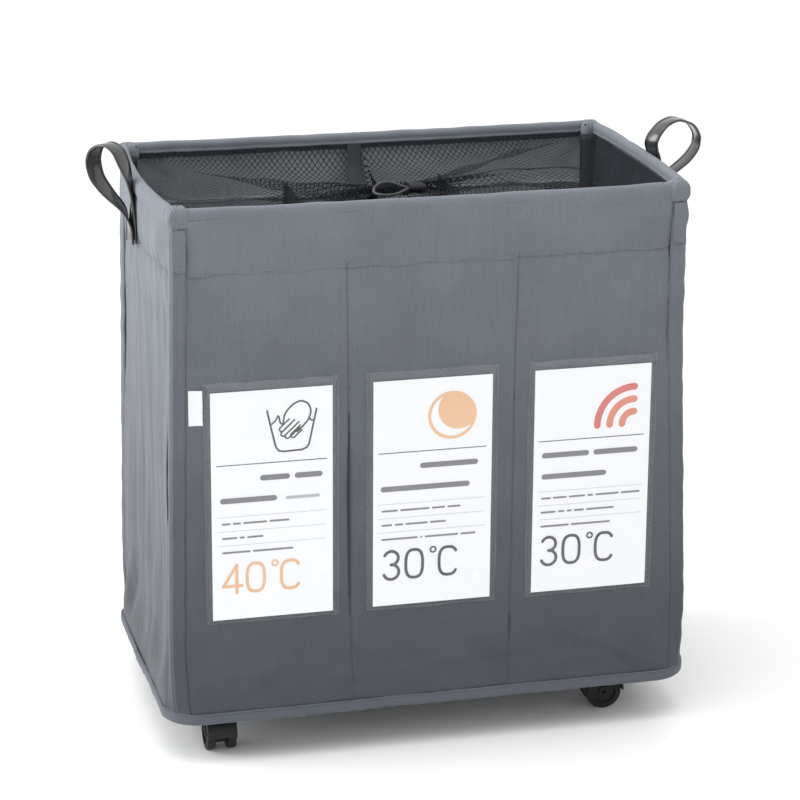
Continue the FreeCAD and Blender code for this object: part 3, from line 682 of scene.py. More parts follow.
def card_path(u, z):
    """1 where a card slides over the front cloth on its way out of its pocket."""
    path = np.zeros(np.broadcast(u, z).shape)
    for low, high in CARDS.values():
        inside = ramp(u, low[0] - 9, low[0] - 3) * (1 - ramp(u, high[0] + 3, high[0] + 9))
        path = np.maximum(path, inside * ramp(z, low[2] - 22, low[2] - 6))
    return path


POST_OUT = -box("corner_post_front_right")[0][1] - HALF_Y  # a post's outermost line, from the wall's plane
PANEL_THICKNESS = 1.3


def tucked(d, z):
    """A wall's offset with its foot held inside the base hem."""
    foot = 1 - ramp(z, HEM_TOP - 1, HEM_TOP + 26)
    return d * (1 - 0.85 * foot) - 0.9 * foot


def band_height(side, u):
    """Height of the band's lower seam, which wanders a little."""
    return BAND_Z + 0.9 * waves(len(side), 90, u, terms=4)


def band(side, u, z):
    """Step, pulled-in seam and puckers where the doubled band ends."""
    seam = band_height(side, u)
    deep = 1.5 if side in ("left", "right") else 1.0
    pucker = waves(20 + len(side), 15, u, terms=6)
    rise = 0.9 * ramp(z, seam - 0.8, seam + 1.0)
    pull = -1.1 * bell(z - seam, 1.3) - 0.8 * deep * bell(z - seam, 9)
    return rise + pull + deep * 0.5 * pucker * bell(z - seam + 4, 8) + deep * 0.3 * pucker * bell(
        z - seam - 6, 8,
    )


def long_wall(side, u, z):
    """Outward offset of the front or back cloth from its plane."""
    front = side == "front"
    seed = 100 if front else 140
    calm = pocket_calm(u, z) if front else 1.0
    d = -0.5 + band(side, u, z) + ramp(z, 470, RIM_LOW) * rim_bow(side, u)
    d = d + calm * (1.5 * waves(seed, 210, u, z * 0.8) + 0.55 * waves(seed + 1, 60, u * 0.8, z))
    d = d + 0.10 * waves(seed + 2, 14, u, z)
    edges = [-SEAM_X, seam_line(0, z), seam_line(1, z), SEAM_X]
    for k in range(3):
        middle, half = (edges[k] + edges[k + 1]) / 2, (edges[k + 1] - edges[k]) / 2
        crown = np.clip(1 - ((u - middle) / half) ** 2, 0, 1)
        d = d + (0.4 + 1.4 * calm) * crown * ramp(z, 60, 150) * (1 - 0.6 * ramp(z, 500, 560))
    below = 1 - ramp(z, 543, 546)
    for k in (0, 1):
        gap = u - seam_line(k, z)
        pucker = waves(seed + 5 + k, 17, z, terms=6)
        d = d - below * (1.25 * bell(gap, 1.1) + 0.5 * bell(gap, 10))
        d = d + below * calm * 0.4 * pucker * bell(np.abs(gap) - 6, 6)
    for sign in (-1, 1):
        reach = np.clip(252 - sign * u, 0, None)
        ridge = 64 + 0.0042 * reach**2 + 6 * waves(seed + 8 + sign, 90, u, terms=3)
        fade = ramp(sign * u, 105, 190) * (1 - ramp(sign * u, 246, 258))
        size = 3.4 if sign > 0 else 2.0
        d = d + size * fade * (bell(z - ridge - 12, 9) - 0.7 * bell(z - ridge + 2, 6))
    d = d + 1.6 * waves(seed + 12, 75, u, z * 2.2) * bell(z - 84, 30)
    d = d - 2.4 * bell(np.abs(u) - SEAM_X, 2.2) - 0.6 * bell(np.abs(u) - SEAM_X + 3, 8)
    d = d - 1.2 * bell(z - RIM_LOW + 1.5, 1.8) + 0.8 * bell(z - RIM_LOW + 12, 9) * waves(
        seed + 14, 34, u, terms=5,
    )
    over_post = ramp(np.abs(u), SEAM_X - 12, SEAM_X - 7) * ramp(widening(u, z), 0.5, 2.0)
    d = d + (np.maximum(d, POST_OUT + PANEL_THICKNESS + 0.4) - d) * over_post
    if front:
        held = CARD_ROOM - np.log1p(np.exp(1.5 * (CARD_ROOM - d))) / 1.5
        d = d + (held - d) * card_path(u, z)
    return tucked(d, z) + flare(z) * outset_to_hem(u, HALF_Y, HEM_Y, HEM_X)


def side_wall(side, u, z):
    """Outward offset of a side's cloth: drapes in soft upright folds under its puckered band."""
    seed = 200 if side == "left" else 240
    d = -0.4 + band(side, u, z) + ramp(z, 430, RIM_LOW) * rim_bow(side, u)
    upright = ramp(BAND_Z - z, 0, 60) * (1 - 0.5 * ramp(BAND_Z - z, 330, 480))
    d = d + upright * (1.0 * waves(seed, 52, u, z * 0.12) + 0.5 * waves(seed + 1, 21, u, z * 0.10))
    d = d + 1.8 * waves(seed + 2, 190, u, z * 0.7)
    d = d + 0.7 * waves(seed + 3, 30, u, z * 0.35) * bell(z - BAND_Z + 45, 60)
    d = d + 0.10 * waves(seed + 4, 12, u, z)
    slack = waves(seed + 5, 60, u * 0.8 + z * 0.35, terms=5) * bell(z - 566, 26)
    d = d + 1.3 * slack * (1 - bell(u, 22))
    lean = u + 0.55 * (z - 60)
    d = d + 2.2 * waves(seed + 6, 46, lean, terms=4) * bell(z - 96, 46) * bell(np.abs(u) - 80, 55)
    d = d - 1.4 * bell(np.abs(u) - SEAM_Y, 1.8) - 0.7 * bell(np.abs(u) - SEAM_Y + 3, 7)
    d = d - 1.2 * bell(z - RIM_LOW + 1.5, 1.8)
    return tucked(d, z) + widening(SIDES[side], z) + flare(z) * outset_to_hem(u, HALF_X, HEM_X, HEM_Y)


def wall_offset(side, u, z):
    """Outward offset of a wall's outer face from its plane."""
    return long_wall(side, u, z) if side in ("front", "back") else side_wall(side, u, z)


def front_cloth_out(x, z):
    """How far the front cloth stands out at a place x across the front."""
    return long_wall("front", x / (1 + widening(x, z) / SEAM_X), z)


def on_wall(side, u, z, out):
    """Points out millimetres outside a wall's plane."""
    u, z, out = np.broadcast_arrays(np.asarray(u, float), z, out)
    if side in ("front", "back"):
        sign = -1 if side == "front" else 1
        return np.stack([u, sign * (HALF_Y + out), z], -1)
    return np.stack([SIDES[side] * (HALF_X + out), u, z], -1)


OUTWARD = {"front": (0, -1, 0), "back": (0, 1, 0), "left": (-1, 0, 0), "right": (1, 0, 0)}

def add_wall(side):
    """One cloth wall from inside the base hem up into the rim hem."""
    long = side in ("front", "back")
    half = SEAM_X if long else SEAM_Y
    marks = (LINE_TOP[0] + 3, LINE_TOP[1] - 3) if long else ()
    u = spaced(-half - 1.5, half + 1.5, 3.2, marks, 7.0, 1.1)
    z = spaced(HEM_LOW + 3, RIM_LOW + 6, 3.4, (BAND_Z,), 8.0, 0.9)
    grid_z, grid_u = np.meshgrid(z, u, indexing="ij")
    widen = 1 + 5.0 / half * ramp(grid_z, 558, 604)
    offset = wall_offset(side, grid_u, grid_z)
    points = on_wall(side, (spread(grid_u, grid_z) if long else grid_u) * widen, grid_z, offset)
    obj = surface_piece(f"{side}_cloth", points, FABRIC, flip=side in ("front", "right"))
    # Inner faces take painted shade, and the back wall's inner face painted light.
    thicken(obj, PANEL_THICKNESS, inside=BACK_FABRIC_PAINTED_LIGHT if side == "back" else SHADED_FABRIC)
    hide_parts(f"{side}_panel")


def seam_threads():
    """Stitches along the band and the divider seams."""
    light, dark = [], []
    for side in OUTWARD:
        long = side in ("front", "back")
        half = (SEAM_X if long else SEAM_Y) - 3
        u = np.linspace(-half, half, 160)
        z = band_height(side, u) + 1.9
        out = np.broadcast_to(OUTWARD[side], (160, 3))
        light += stitch_row(on_wall(side, spread(u, z) if long else u, z, wall_offset(side, u, z)), out)
        if long:
            for k in (0, 1):
                z = np.linspace(HEM_TOP + 2, 545, 180)
                u = seam_line(k, z)
                out = np.broadcast_to(OUTWARD[side], (180, 3))
                dark += stitch_row(
                    on_wall(side, spread(u, z), z, wall_offset(side, u, z)), out, 3.0, 0.7, 0.3, 0.3,
                )
    for name, parts, material in (
        ("panel_stitches", light, THREAD), ("divider_stitches", dark, DARK_THREAD),
    ):
        obj = mesh_piece(name, *join_meshes(parts), material)


def add_rim_rods():
    """The four steel rods in the rim, sprung a little outwards between the corners."""
    low, high = box("rim_rods")
    radius, height = (high[2] - low[2]) / 2, (high[2] + low[2]) / 2
    turn = np.linspace(0, 2 * math.pi, 13)[:-1]
    parts = []
    for side in OUTWARD:
        long = side in ("front", "back")
        half = (SEAM_X if long else SEAM_Y) + 3
        inset = (HALF_Y - high[1] if long else HALF_X - high[0]) + radius
        u = np.linspace(-half, half, 60)
        sag = -1.0 * np.clip(1 - (u / half) ** 2, 0, 1)
        points = on_wall(
            side, u[:, None], height + sag[:, None] + radius * np.sin(turn),
            rim_bow(side, u)[:, None] - inset + radius * np.cos(turn),
        )
        faces = [list(f) for f in grid_faces(60, 12, wrap_columns=True, flip=side in ("front", "right"))]
        caps = [list(range(12)), list(range(59 * 12, 60 * 12))[::-1]]
        parts.append(
            (points, faces + (caps if side in ("front", "right") else [c[::-1] for c in caps]))
        )
    obj = mesh_piece("rim_rods_bowed", *join_meshes(parts), STEEL)
    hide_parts("rim_rods")


add_rim_rods()
for name in OUTWARD:
    add_wall(name)
seam_threads()


# Corner sleeves and their flaps ---------------------------------------------------------------------

def add_sleeve(corner):
    """Cloth tube round a corner post: flat outer faces, a piped edge and folds near the top."""
    sx, sy = CORNERS[corner]
    seed = 300 + 7 * list(CORNERS).index(corner)
    side = HALF_X - SEAM_X
    radius = 4.5
    outline = [(-side, 0.0)]
    outline += [(p, 0.0) for p in np.linspace(-side + 1.5, -radius - 1.6, 9)]
    turns = np.radians(np.linspace(90, 0, 9))
    outline += [(-radius + radius * math.cos(a), -radius + radius * math.sin(a)) for a in turns]
    outline += [(0.0, p) for p in np.linspace(-radius - 1.6, -side + 1.5, 9)]
    outline += [
        (0.0, -side), (-2.0, -side - 0.6), (-side + 3, -side - 0.6), (-side - 0.6, -side + 3),
        (-side - 0.6, -2.0),
    ]
    outline = np.array(outline)
    p, q = outline[:, 0], outline[:, 1]
    on_face_y, on_face_x = q > -radius - 0.1, p > -radius - 0.1
    z = spaced(HEM_LOW + 3.5, RIM_LOW + 3, 4.0, (BAND_Z,), 8.0, 1.2)
    rows = []
    for height in z:
        x, y = p.copy(), q.copy()
        share = flare(height)
        wider = widening(sx, height)
        x = x + np.where(on_face_x | on_face_y, wider, 0)
        x = x + np.where(on_face_x, share * outset_to_hem(HALF_Y + q, HALF_X, HEM_X, HEM_Y), 0)
        y = y + np.where(on_face_y, share * outset_to_hem(HALF_X + p, HALF_Y, HEM_Y, HEM_X), 0)
        ridge_y = 1.0 * bell(p + 2.9, 0.9) * on_face_y
        ridge_x = 0.8 * bell(q + 3.4, 0.9) * on_face_x
        folds = 0.8 * waves(seed + 1, 30, height, p * 2, q * 2) * ramp(height, 540, 590)
        soft = 0.28 * waves(seed, 26, height, p, q) + folds
        dent = -3.0 * bell(p + side, 1.9) * on_face_y
        dent_x = -1.8 * bell(q + side, 1.7) * on_face_x
        line = -0.5 * bell(height - BAND_Z, 1.2)
        shift_y = ridge_y + soft + dent + line
        if wider > 1.0:  # the seam lies over the post
            shift_y = np.maximum(shift_y, POST_OUT + 0.5)
        y = y + np.where(on_face_y, shift_y, 0)
        x = x + np.where(on_face_x, ridge_x + soft + dent_x + line, 0)
        rows.append(np.stack([sx * (HALF_X + x), sy * (HALF_Y + y), np.full(len(x), height)], -1))
    obj = closed_sweep_piece(f"sleeve_{corner}", np.array(rows), FABRIC, flip=sx * sy < 0)
    # The faces turned inside take the painted shade.
    obj.data.materials.append(SHADED_FABRIC)
    for polygon in obj.data.polygons[: (len(z) - 1) * len(outline)]:
        if polygon.index % len(outline) >= len(outline) - 5:
            polygon.material_index = 1
    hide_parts(f"corner_sleeve_{corner}")


def add_flap(corner):
    """Small cloth tab that closes the sleeve's top on the long side, with a stitched edge."""
    sy = CORNERS[corner][1]
    low, high = box(f"sleeve_flap_{corner}")
    seed = 340 + 5 * list(CORNERS).index(corner)
    u = np.linspace(low[0], high[0], 15)
    z = np.linspace(high[2], low[2], 30)
    middle, half = (low[0] + high[0]) / 2, (high[0] - low[0]) / 2
    rows = []
    for height in z:
        near_foot = max(0.0, (low[2] + 4 - height) / 4)
        width = half * (1 - 0.35 * near_foot**2)
        x = middle + (u - middle) / half * width
        out = 1.5 + 0.35 * waves(seed, 22, x, height) + 0.5 * bell(height - high[2] + 9, 4)
        out = out + 1.2 * ramp(low[2] + 12 - height, 0, 12) * waves(seed + 2, 16, x, terms=3) ** 2 * 0.5
        rows.append(np.stack([x, np.full(len(x), sy) * (HALF_Y + out), np.full(len(x), height)], -1))
    points = np.array(rows)
    obj = surface_piece(f"flap_{corner}_cloth", points, FABRIC, 1.1, flip=sy > 0, body=f"flap_{corner}")
    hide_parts(f"sleeve_flap_{corner}")
    path = np.array([[points[i, j] for i, j in line] for line in (
        [(k, 1) for k in range(1, 27)],
        [(k, 13) for k in range(1, 27)],
    )])
    threads = []
    for line in path:
        threads += stitch_row(line, np.broadcast_to((0, sy, 0), line.shape), 2.6, 0.68, 0.22, 0.1)
    cross = points[26, 1:14]
    threads += stitch_row(cross, np.broadcast_to((0, sy, 0), cross.shape), 2.6, 0.68, 0.22, 0.1)
    stitches = mesh_piece(f"flap_{corner}_stitches", *join_meshes(threads), THREAD, body=f"flap_{corner}")


for name in CORNERS:
    add_sleeve(name)
    add_flap(name)


# Rim ------------------------------------------------------------------------------------------------

RIM_PROFILE = [  # out from the wall's plane, and height above the rim's foot
    (0.1, -0.8), (0.7, 0.9), (1.7, 3.6), (2.4, 8.0), (2.3, 12.4), (1.2, 16.4), (-0.9, 18.6), (-3.8, 19.2),
    (-6.6, 18.6), (-8.5, 16.9), (-9.3, 14.4), (-9.2, 11.6), (-8.9, 9.8), (-9.6, 8.9), (-9.7, 7.4),
    (-8.6, 6.4),
    (-6.8, 6.6), (-4.0, 4.0), (-1.8, -0.6),
]


def rim_stations(side, half):
    """Positions along one side of the rim, and its profile there."""
    u = np.linspace(-half, half, int(half / 2.2))
    seed = 400 + len(side)
    profile = np.broadcast_to(np.array(RIM_PROFILE), (len(u), len(RIM_PROFILE), 2)).copy()
    drop = -1.2 * np.clip(1 - (u / half) ** 2, 0, 1) + 0.25 * waves(seed + 1, 120, u, terms=4)
    bow = rim_bow(side, u)
    if side == "front":  # flat enough for the cards to pass
        bow = bow - 2.0
        profile[..., 1] *= 0.93
    for k in range(len(RIM_PROFILE)):
        profile[:, k, 0] += bow + 0.16 * waves(seed + 2, 24, u, np.full_like(u, 3.0 * k), terms=5)
        profile[:, k, 1] += drop * (1 if RIM_PROFILE[k][1] > 2 else 0.4)
        profile[:, k, 1] += 0.16 * waves(seed + 3, 30, u, np.full_like(u, 3.0 * k), terms=5)
    return u, profile


def add_rim(side):
    """The rolled hem along one side, round its rod."""
    long = side in ("front", "back")
    half = (SEAM_X if long else SEAM_Y) + 3.0
    u, profile = rim_stations(side, half)
    points = on_wall(side, u[:, None], RIM_LOW + profile[..., 1], profile[..., 0])
    obj = closed_sweep_piece(f"rim_{side}_cloth", points, FABRIC, flip=side in ("front", "right"))
    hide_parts(f"rim_hem_{side}")
    outer, inner = points[:, 1] * 1.0, points[:, 12] * 1.0
    outer[:, 2] += 0.4
    out = np.broadcast_to(OUTWARD[side], outer.shape)
    threads = stitch_row(outer, out, 3.2, 0.68, 0.25, 0.1) + stitch_row(inner, -out, 3.2, 0.68, 0.28, 0.15)
    stitches = mesh_piece(f"rim_{side}_stitches", *join_meshes(threads), THREAD)


CORNER_SIDE = 22.5
CORNER_LEVELS = [  # height above the rim's foot, and how far the cover draws in there
    (-2.0, 5.0), (-2.7, 2.9), (-1.2, 1.8), (2.0, 0.5), (5.0, -0.3), (9.5, -0.4), (13.5, 0.1), (16.6, 1.2),
    (18.8, 3.2), (19.9, 5.6), (20.2, 8.0), (20.3, 10.6),
]


def add_rim_corners():
    """The four gathered covers over the rim's connectors."""
    parts = []
    turn = np.linspace(0, 2 * math.pi, 97)[:-1]
    across, along = np.cos(turn), np.sin(turn)
    reach = (np.abs(across) ** 4.5 + np.abs(along) ** 4.5) ** (-1 / 4.5)
    for index, (sx, sy) in enumerate(CORNERS.values()):
        rows = []
        for up, inset in CORNER_LEVELS:
            gather = 0.35 * np.sin(14 * turn + 1.3 * index + 0.16 * up) + 0.5 * waves(
                430 + index, 9, 11 * across, 11 * along, up,
            )
            middle = CORNER_SIDE / 2 - inset
            half = (middle + gather * (0.4 if 2 < up < 12 else 0.9) * min(1.0, middle / 8)) * reach
            x = sx * (HALF_X + 2.5 - CORNER_SIDE / 2 + across * half)
            y = sy * (HALF_Y + 2.5 - CORNER_SIDE / 2 + along * half)
            lift = 0.35 * np.sin(7 * turn + index) * (1 if up > 12 else 0)
            rows.append(np.stack([x, y, RIM_LOW + up + lift], -1))
        count = len(turn)
        faces = [list(f) for f in grid_faces(len(rows), count, wrap_columns=True, flip=sx * sy < 0)]
        caps = [list(range(count))[::-1], list(range((len(rows) - 1) * count, len(rows) * count))]
        parts.append((np.array(rows), faces + (caps if sx * sy > 0 else [c[::-1] for c in caps])))
    obj = mesh_piece("rim_corner_cloth", *join_meshes(parts), FABRIC)
    modifier = obj.modifiers.new("smooth", "SUBSURF")
    modifier.levels = modifier.render_levels = 1
    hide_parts("rim_corner_covers")


for name in OUTWARD:
    add_rim(name)
add_rim_corners()


# Base -----------------------------------------------------------------------------------------------

def add_hem():
    """Tape folded over the edge where the walls meet the base, all the way round."""
    path, outs = rounded_rectangle(HEM_X, HEM_Y, HEM_RADIUS, 4.0)
    seed = 500
    low, top = HEM_LOW, HEM_TOP
    height = top - low
    profile = [
        (-2.2, 0.4), (-1.0, -0.2), (-0.3, 0.6), (0.0, 2.5), (0.15, 6.0), (-0.1, 9.5), (-0.7, 11.6),
        (-1.5, 12.0),
        (-2.3, 11.2), (-2.7, 8.0), (-2.8, 3.0),
    ]
    rows = []
    for (x, y), (ox, oy) in zip(path, outs):
        wobble = 0.45 * waves(seed, 80, x, y) + 0.25 * waves(seed + 1, 22, x, y)
        sag = 0.5 * waves(seed + 2, 150, x, y)
        rows.append([
            (
                float(hem_place(x + ox * (out + wobble))), y + oy * (out + wobble),
                low + up * height / 12 + sag + 0.12 * float(waves(seed + 3, 9, x, y, up)),
            )
            for out, up in profile
        ])
    points = np.array(rows)
    obj = closed_sweep_piece("base_hem_tape", points, TAPE, flip=True, loop=True)
    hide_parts("base_hem")
    line = np.concatenate([points[:, 5], points[:1, 5]])
    line[:, 2] += 0.6
    out = np.concatenate([np.c_[outs, np.zeros(len(outs))], [[*outs[0], 0]]])
    stitches = mesh_piece(
        "hem_stitches", *join_meshes(stitch_row(line, out, 3.0, 0.66, 0.27, 0.12)), DARK_THREAD,
    )


def add_base_cover():
    """Cloth under the board, a little slack between the casters' plates."""
    low = box("base_cover")[0]
    rings = 26
    points = []
    for k in range(rings):
        share = (k + 1) / rings
        half_x, half_y, radius = (HEM_X - 2.9) * share, (HEM_Y - 2.9) * share, (HEM_RADIUS - 2.9) * share
        path, _ = rounded_rectangle(half_x, half_y, radius, max(1.2, 14.0 * share))
        steps = np.r_[0, np.cumsum(np.linalg.norm(np.diff(np.r_[path, path[:1]], axis=0), axis=1))]
        at = np.linspace(0, steps[-1], 181)[:-1]
        closed = np.r_[path, path[:1]]
        x, y = (np.interp(at, steps, closed[:, j]) for j in (0, 1))
        z = low[2] - 0.2 * waves(520, 70, x, y) * ramp(share, 0, 0.6)
        points.append(np.stack([hem_place(x), y, z + 0.1], -1))
    points = np.array(points)
    faces = [list(f) for f in grid_faces(rings, 180, wrap_columns=True, flip=False)] + [
        list(range(180))[::-1],
    ]
    # Painted shade: the darkened copy of the cloth.
    obj = mesh_piece("base_cover_cloth", points.reshape(-1, 3), faces, SHADED_FABRIC)
    thicken(obj, 1.2)
    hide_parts("base_cover")


def add_divider(side):
    """Cloth wall between two compartments, with a hemmed top."""
    low, high = box(f"divider_{side}")
    y = np.linspace(low[1], high[1], 70)
    z = np.r_[np.linspace(low[2], high[2] - 14, 84), np.linspace(high[2] - 13, high[2], 8)]
    grid_z, grid_y = np.meshgrid(z, y, indexing="ij")
    seed = 540 + SIDES[side]
    edge = np.clip(1 - (grid_y / high[1]) ** 2, 0, 1)
    sway = (2.2 * waves(seed, 110, grid_y, grid_z) + 0.6 * waves(seed + 1, 35, grid_y, grid_z * 0.4)) * edge
    sway = sway - 0.5 * bell(grid_z - (high[2] - 13), 1.5)
    drop = -3.0 * edge * ramp(grid_z, low[2] + 100, high[2])
    points = np.stack([(low[0] + high[0]) / 2 + 0.5 + sway, grid_y, grid_z + drop], -1)
    # Painted shade: the darkened copy of the cloth.
    obj = surface_piece(f"divider_{side}_cloth", points, SHADED_FABRIC, 1.0, flip=True)
    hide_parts(f"divider_{side}")


add_hem()
add_base_cover()
for name in SIDES:
    add_divider(name)


# Net cover ------------------------------------------------------------------------------------------

NET_X, NET_Y = 268.0, 150.5  # where the net meets the inside of the rim
NET_FLAT_X, NET_FLAT_Y = 282.0, 172.0  # half sides of the net before it hangs
NET_RIM_Z = RIM_LOW + 8.0
NET_LIFT = 7.5  # how far the net is sewn above the rim's foot
THROAT = (12.5, 8.5)
THROAT_Z = 578.5
CELL_WIDE, CELL_TALL = 6.8, 6.2
YARN = 0.545
HOLE = 0.16  # share of the flat sheet gathered into the throat
BACK_PROFILE = [  # inwards from the rim, and below it
    (0.0, 0.0), (5.0, 8.5), (13.0, 19.0), (24.0, 27.5), (38.0, 34.5), (52.0, 38.5), (66.0, 39.0),
    (84.0, 34.0),
    (104.0, 26.0), (124.0, 18.0), (142.0, 12.0),
]
SIDE_PROFILE = [
    (0.0, 0.0), (6.0, 5.0), (18.0, 9.0), (40.0, 11.5), (75.0, 12.5), (120.0, 13.0), (170.0, 13.0),
    (215.0, 12.5),
    (255.5, 12.0),
]


def hang(profile, travel):
    """Distance in, and drop, at shares 0 to 1 of the way along a hanging profile."""
    fine = resample(profile, 200)
    steps = np.linspace(0, 1, 200)
    return np.interp(travel, steps, fine[:, 0]) / fine[-1, 0], np.interp(travel, steps, fine[:, 1])


def net_point(x, y):
    """Where a point of the flat net hangs: x and y run from -1 to 1 over the flat sheet."""
    x, y = np.asarray(x, float), np.asarray(y, float)
    reach = np.maximum(np.maximum(np.abs(x), np.abs(y)), 1e-6)
    travel = np.clip((1 - reach) / (1 - HOLE), 0, 1)
    toward_long = np.abs(y) >= np.abs(x)
    along = np.where(toward_long, x, y) / reach
    share_long, drop_long = hang(BACK_PROFILE, travel)
    share_side, drop_side = hang(SIDE_PROFILE, travel)
    tension = np.clip(1 - np.abs(along) ** 2.2, 0, 1)
    tension_side = np.clip(1 - np.abs(along) ** 3.0, 0, 1)
    ridge_drop = 12.0 * travel - 9.0 * np.sin(math.pi * np.clip(travel, 0, 1)) ** 2 * np.where(
        x > 0, 1.0, -0.5,
    )
    share = np.where(
        toward_long, travel + (share_long - travel) * tension,
        travel + (share_side - travel) * tension_side,
    )
    front = np.where(y < 0, 0.5, 1.0)
    drop = np.where(
        toward_long,
        ridge_drop + (drop_long * front - 12.0 * travel) * tension,
        ridge_drop + (drop_side - 12.0 * travel) * tension_side,
    )
    rim_x, rim_y = x / reach * NET_X, y / reach * NET_Y
    angle = np.arctan2(y, x)
    throat_x, throat_y = THROAT[0] * np.cos(angle), THROAT[1] * np.sin(angle)
    px = rim_x + (throat_x - rim_x) * share
    py = rim_y + (throat_y - rim_y) * share
    bow_left = np.where(px < 0, BOW["left"], BOW["right"]) * np.clip(1 - (py / (SEAM_Y + 6)) ** 2, 0, 1)
    px = px + np.sign(px) * bow_left * (1 - travel) ** 2
    py = py + np.sign(py) * 3.0 * np.clip(1 - (px / (SEAM_X + 6)) ** 2, 0, 1) * (1 - travel) ** 2
    gather = ramp(travel, 0.45, 0.97)
    wobble = 1.1 * waves(610, 1.4, np.cos(angle), np.sin(angle), terms=5)
    pleat = np.sin(23 * angle + wobble) * 3.6 * gather * (1 - 0.35 * ramp(travel, 0.93, 1.0))
    pleat = pleat + np.sin(11 * angle + 2 * wobble) * 2.6 * ramp(travel, 0.3, 0.75) * (1 - 0.5 * gather)
    side_fold = np.sin(along * 6.5 + 1.2 * np.where(x > 0, 1, 2)) * 5.5 * np.sin(math.pi * travel) ** 1.2
    loose = 2.4 * waves(620, 70, px, py, terms=6) * np.sin(math.pi * np.clip(travel, 0, 1))
    pz = NET_RIM_Z - NET_LIFT * ramp(travel, 0.0, 0.16) - drop + pleat + loose + np.where(
        toward_long, 0.0, side_fold * tension_side,
    )
    pz = pz - 1.3 * np.clip(1 - (px / NET_X) ** 2, 0, 1) * (1 - travel)
    swirl = np.cos(23 * angle + wobble) * 2.2 * gather
    px, py = px - np.sin(angle) * swirl, py + np.cos(angle) * swirl
    over = DIVIDER_TOP + 2.5
    near = bell(np.abs(px) - DIVIDER_X, 16)
    pz = pz + near * np.log1p(np.exp(np.clip((over - pz) / 2.0, -30, 30))) * 2.0
    return np.stack([px, py, pz], -1)


def add_net():
    """Diamond net: each knot is a small quad, and each strand a quad between two knots."""
    columns = int(2 * NET_FLAT_X / CELL_WIDE)
    rows = int(2 * NET_FLAT_Y / (CELL_TALL / 2))
    knots, index = [], {}
    for i in range(rows + 1):
        shift = 0.5 if i % 2 else 0.0
        for j in range(columns + 1):
            x = -NET_FLAT_X + (j + shift) * 2 * NET_FLAT_X / columns
            y = -NET_FLAT_Y + i * 2 * NET_FLAT_Y / rows
            if x > NET_FLAT_X + 0.1 or max(abs(x) / NET_FLAT_X, abs(y) / NET_FLAT_Y) < HOLE:
                continue
            index[i, j] = len(knots)
            knots.append((x, y))
    knots = np.array(knots)
    offsets = np.array([(0, YARN), (YARN, 0), (0, -YARN), (-YARN, 0)])  # north, east, south, west
    corners = knots[:, None, :] + offsets[None]
    corners = np.clip(corners, (-NET_FLAT_X, -NET_FLAT_Y), (NET_FLAT_X, NET_FLAT_Y))
    points = net_point(corners[..., 0] / NET_FLAT_X, corners[..., 1] / NET_FLAT_Y)
    points[:, 0::2, 2] += 0.22
    faces = [[4 * k + 3, 4 * k + 2, 4 * k + 1, 4 * k] for k in range(len(knots))]
    for (i, j), k in index.items():
        right = index.get((i + 1, j + (i % 2)))
        left = index.get((i + 1, j - 1 + (i % 2)))
        if right is not None:
            faces.append([4 * k + 1, 4 * right + 2, 4 * right + 3, 4 * k])
        if left is not None:
            faces.append([4 * k, 4 * left + 1, 4 * left + 2, 4 * k + 3])
    obj = mesh_piece("net_cover", points.reshape(-1, 3), faces, NET, smooth=False)
    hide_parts("mesh_cover")


def add_net_seam():
    """Doubled strip where the net is joined, from the back rim to the gather."""
    travel = np.linspace(0.002, 0.80, 70)
    rows = []
    for t in travel:
        y = 1 - t
        half = 0.028 + 0.008 * math.sin(7 * t)
        across = np.linspace(-half, half, 9) * (1 - 0.4 * t) - 0.040 - 0.012 * t
        row = net_point(across, np.full(9, y))
        row[:, 2] += 0.9 + 1.0 * np.cos(np.linspace(-1.5, 1.5, 9)) + 0.4 * np.sin(25 * t + np.arange(9))
        rows.append(row)
    obj = surface_piece("net_seam_strip", np.array(rows), NET_TAPE, 0.5, flip=False)


def add_throat():
    """Ruffled channel that the drawcord runs in."""
    count, ring = 150, 10
    rows = []
    for k in range(count):
        a = 2 * math.pi * k / count
        ruffle = math.sin(19 * a) * 1.5 + 0.9 * float(waves(640, 1.2, math.cos(a), math.sin(a), terms=4))
        x, y = (THROAT[0] + 1.5) * math.cos(a), (THROAT[1] + 1.5) * math.sin(a)
        centre = np.array([x, y, THROAT_Z + 1.6 + ruffle * 0.6])
        out = np.array([math.cos(a), math.sin(a), 0])
        row = []
        for j in range(ring):
            b = 2 * math.pi * j / ring
            radius = 2.9 + 0.8 * math.sin(19 * a + 1.3) * math.sin(b)
            lift = np.array([0, 0, 1.5 * radius * math.sin(b)])
            row.append(centre + out * (radius * math.cos(b) + ruffle * 0.5) + lift)
        rows.append(row)
    obj = closed_sweep_piece("net_throat_channel", np.array(rows), NET, loop=True, flip=False)


add_net()
add_net_seam()
add_throat()


# Label pockets, cards and tag -----------------------------------------------------------------------

def film_out(name, u, z):
    """How far the clear sheet stands out from the front wall's plane."""
    low, high = POCKETS[name]
    seed = 700 + 11 * list(POCKETS).index(name)
    inwards = np.minimum(np.minimum(u - low[0], high[0] - u), z - low[2])
    lift = ramp(inwards, 2.6, 7.5)
    crinkle = 0.36 * waves(seed, 34, u, z) + 0.16 * waves(seed + 1, 12, u, z)
    for k in range(5):
        rng = np.random.default_rng(seed + 3 + k)
        turn = rng.uniform(0.9, 1.7) * rng.choice((-1, 1))
        x0, z0 = rng.uniform(low[0] + 15, high[0] - 15), rng.uniform(low[2] + 20, high[2] - 20)
        along = (u - x0) * math.cos(turn) + (z - z0) * math.sin(turn)
        off = -(u - x0) * math.sin(turn) + (z - z0) * math.cos(turn) + 0.006 * along**2
        crinkle = crinkle + 0.5 * bell(off, 1.3) * bell(along, rng.uniform(14, 34))
    gape = 0.9 * ramp(z, high[2] - 30, high[2]) * (0.6 + 0.4 * waves(seed + 2, 60, u, terms=3))
    sewn = front_cloth_out(u, z) + 0.75
    return sewn + (np.maximum(2.75 + crinkle + gape, sewn) - sewn) * lift


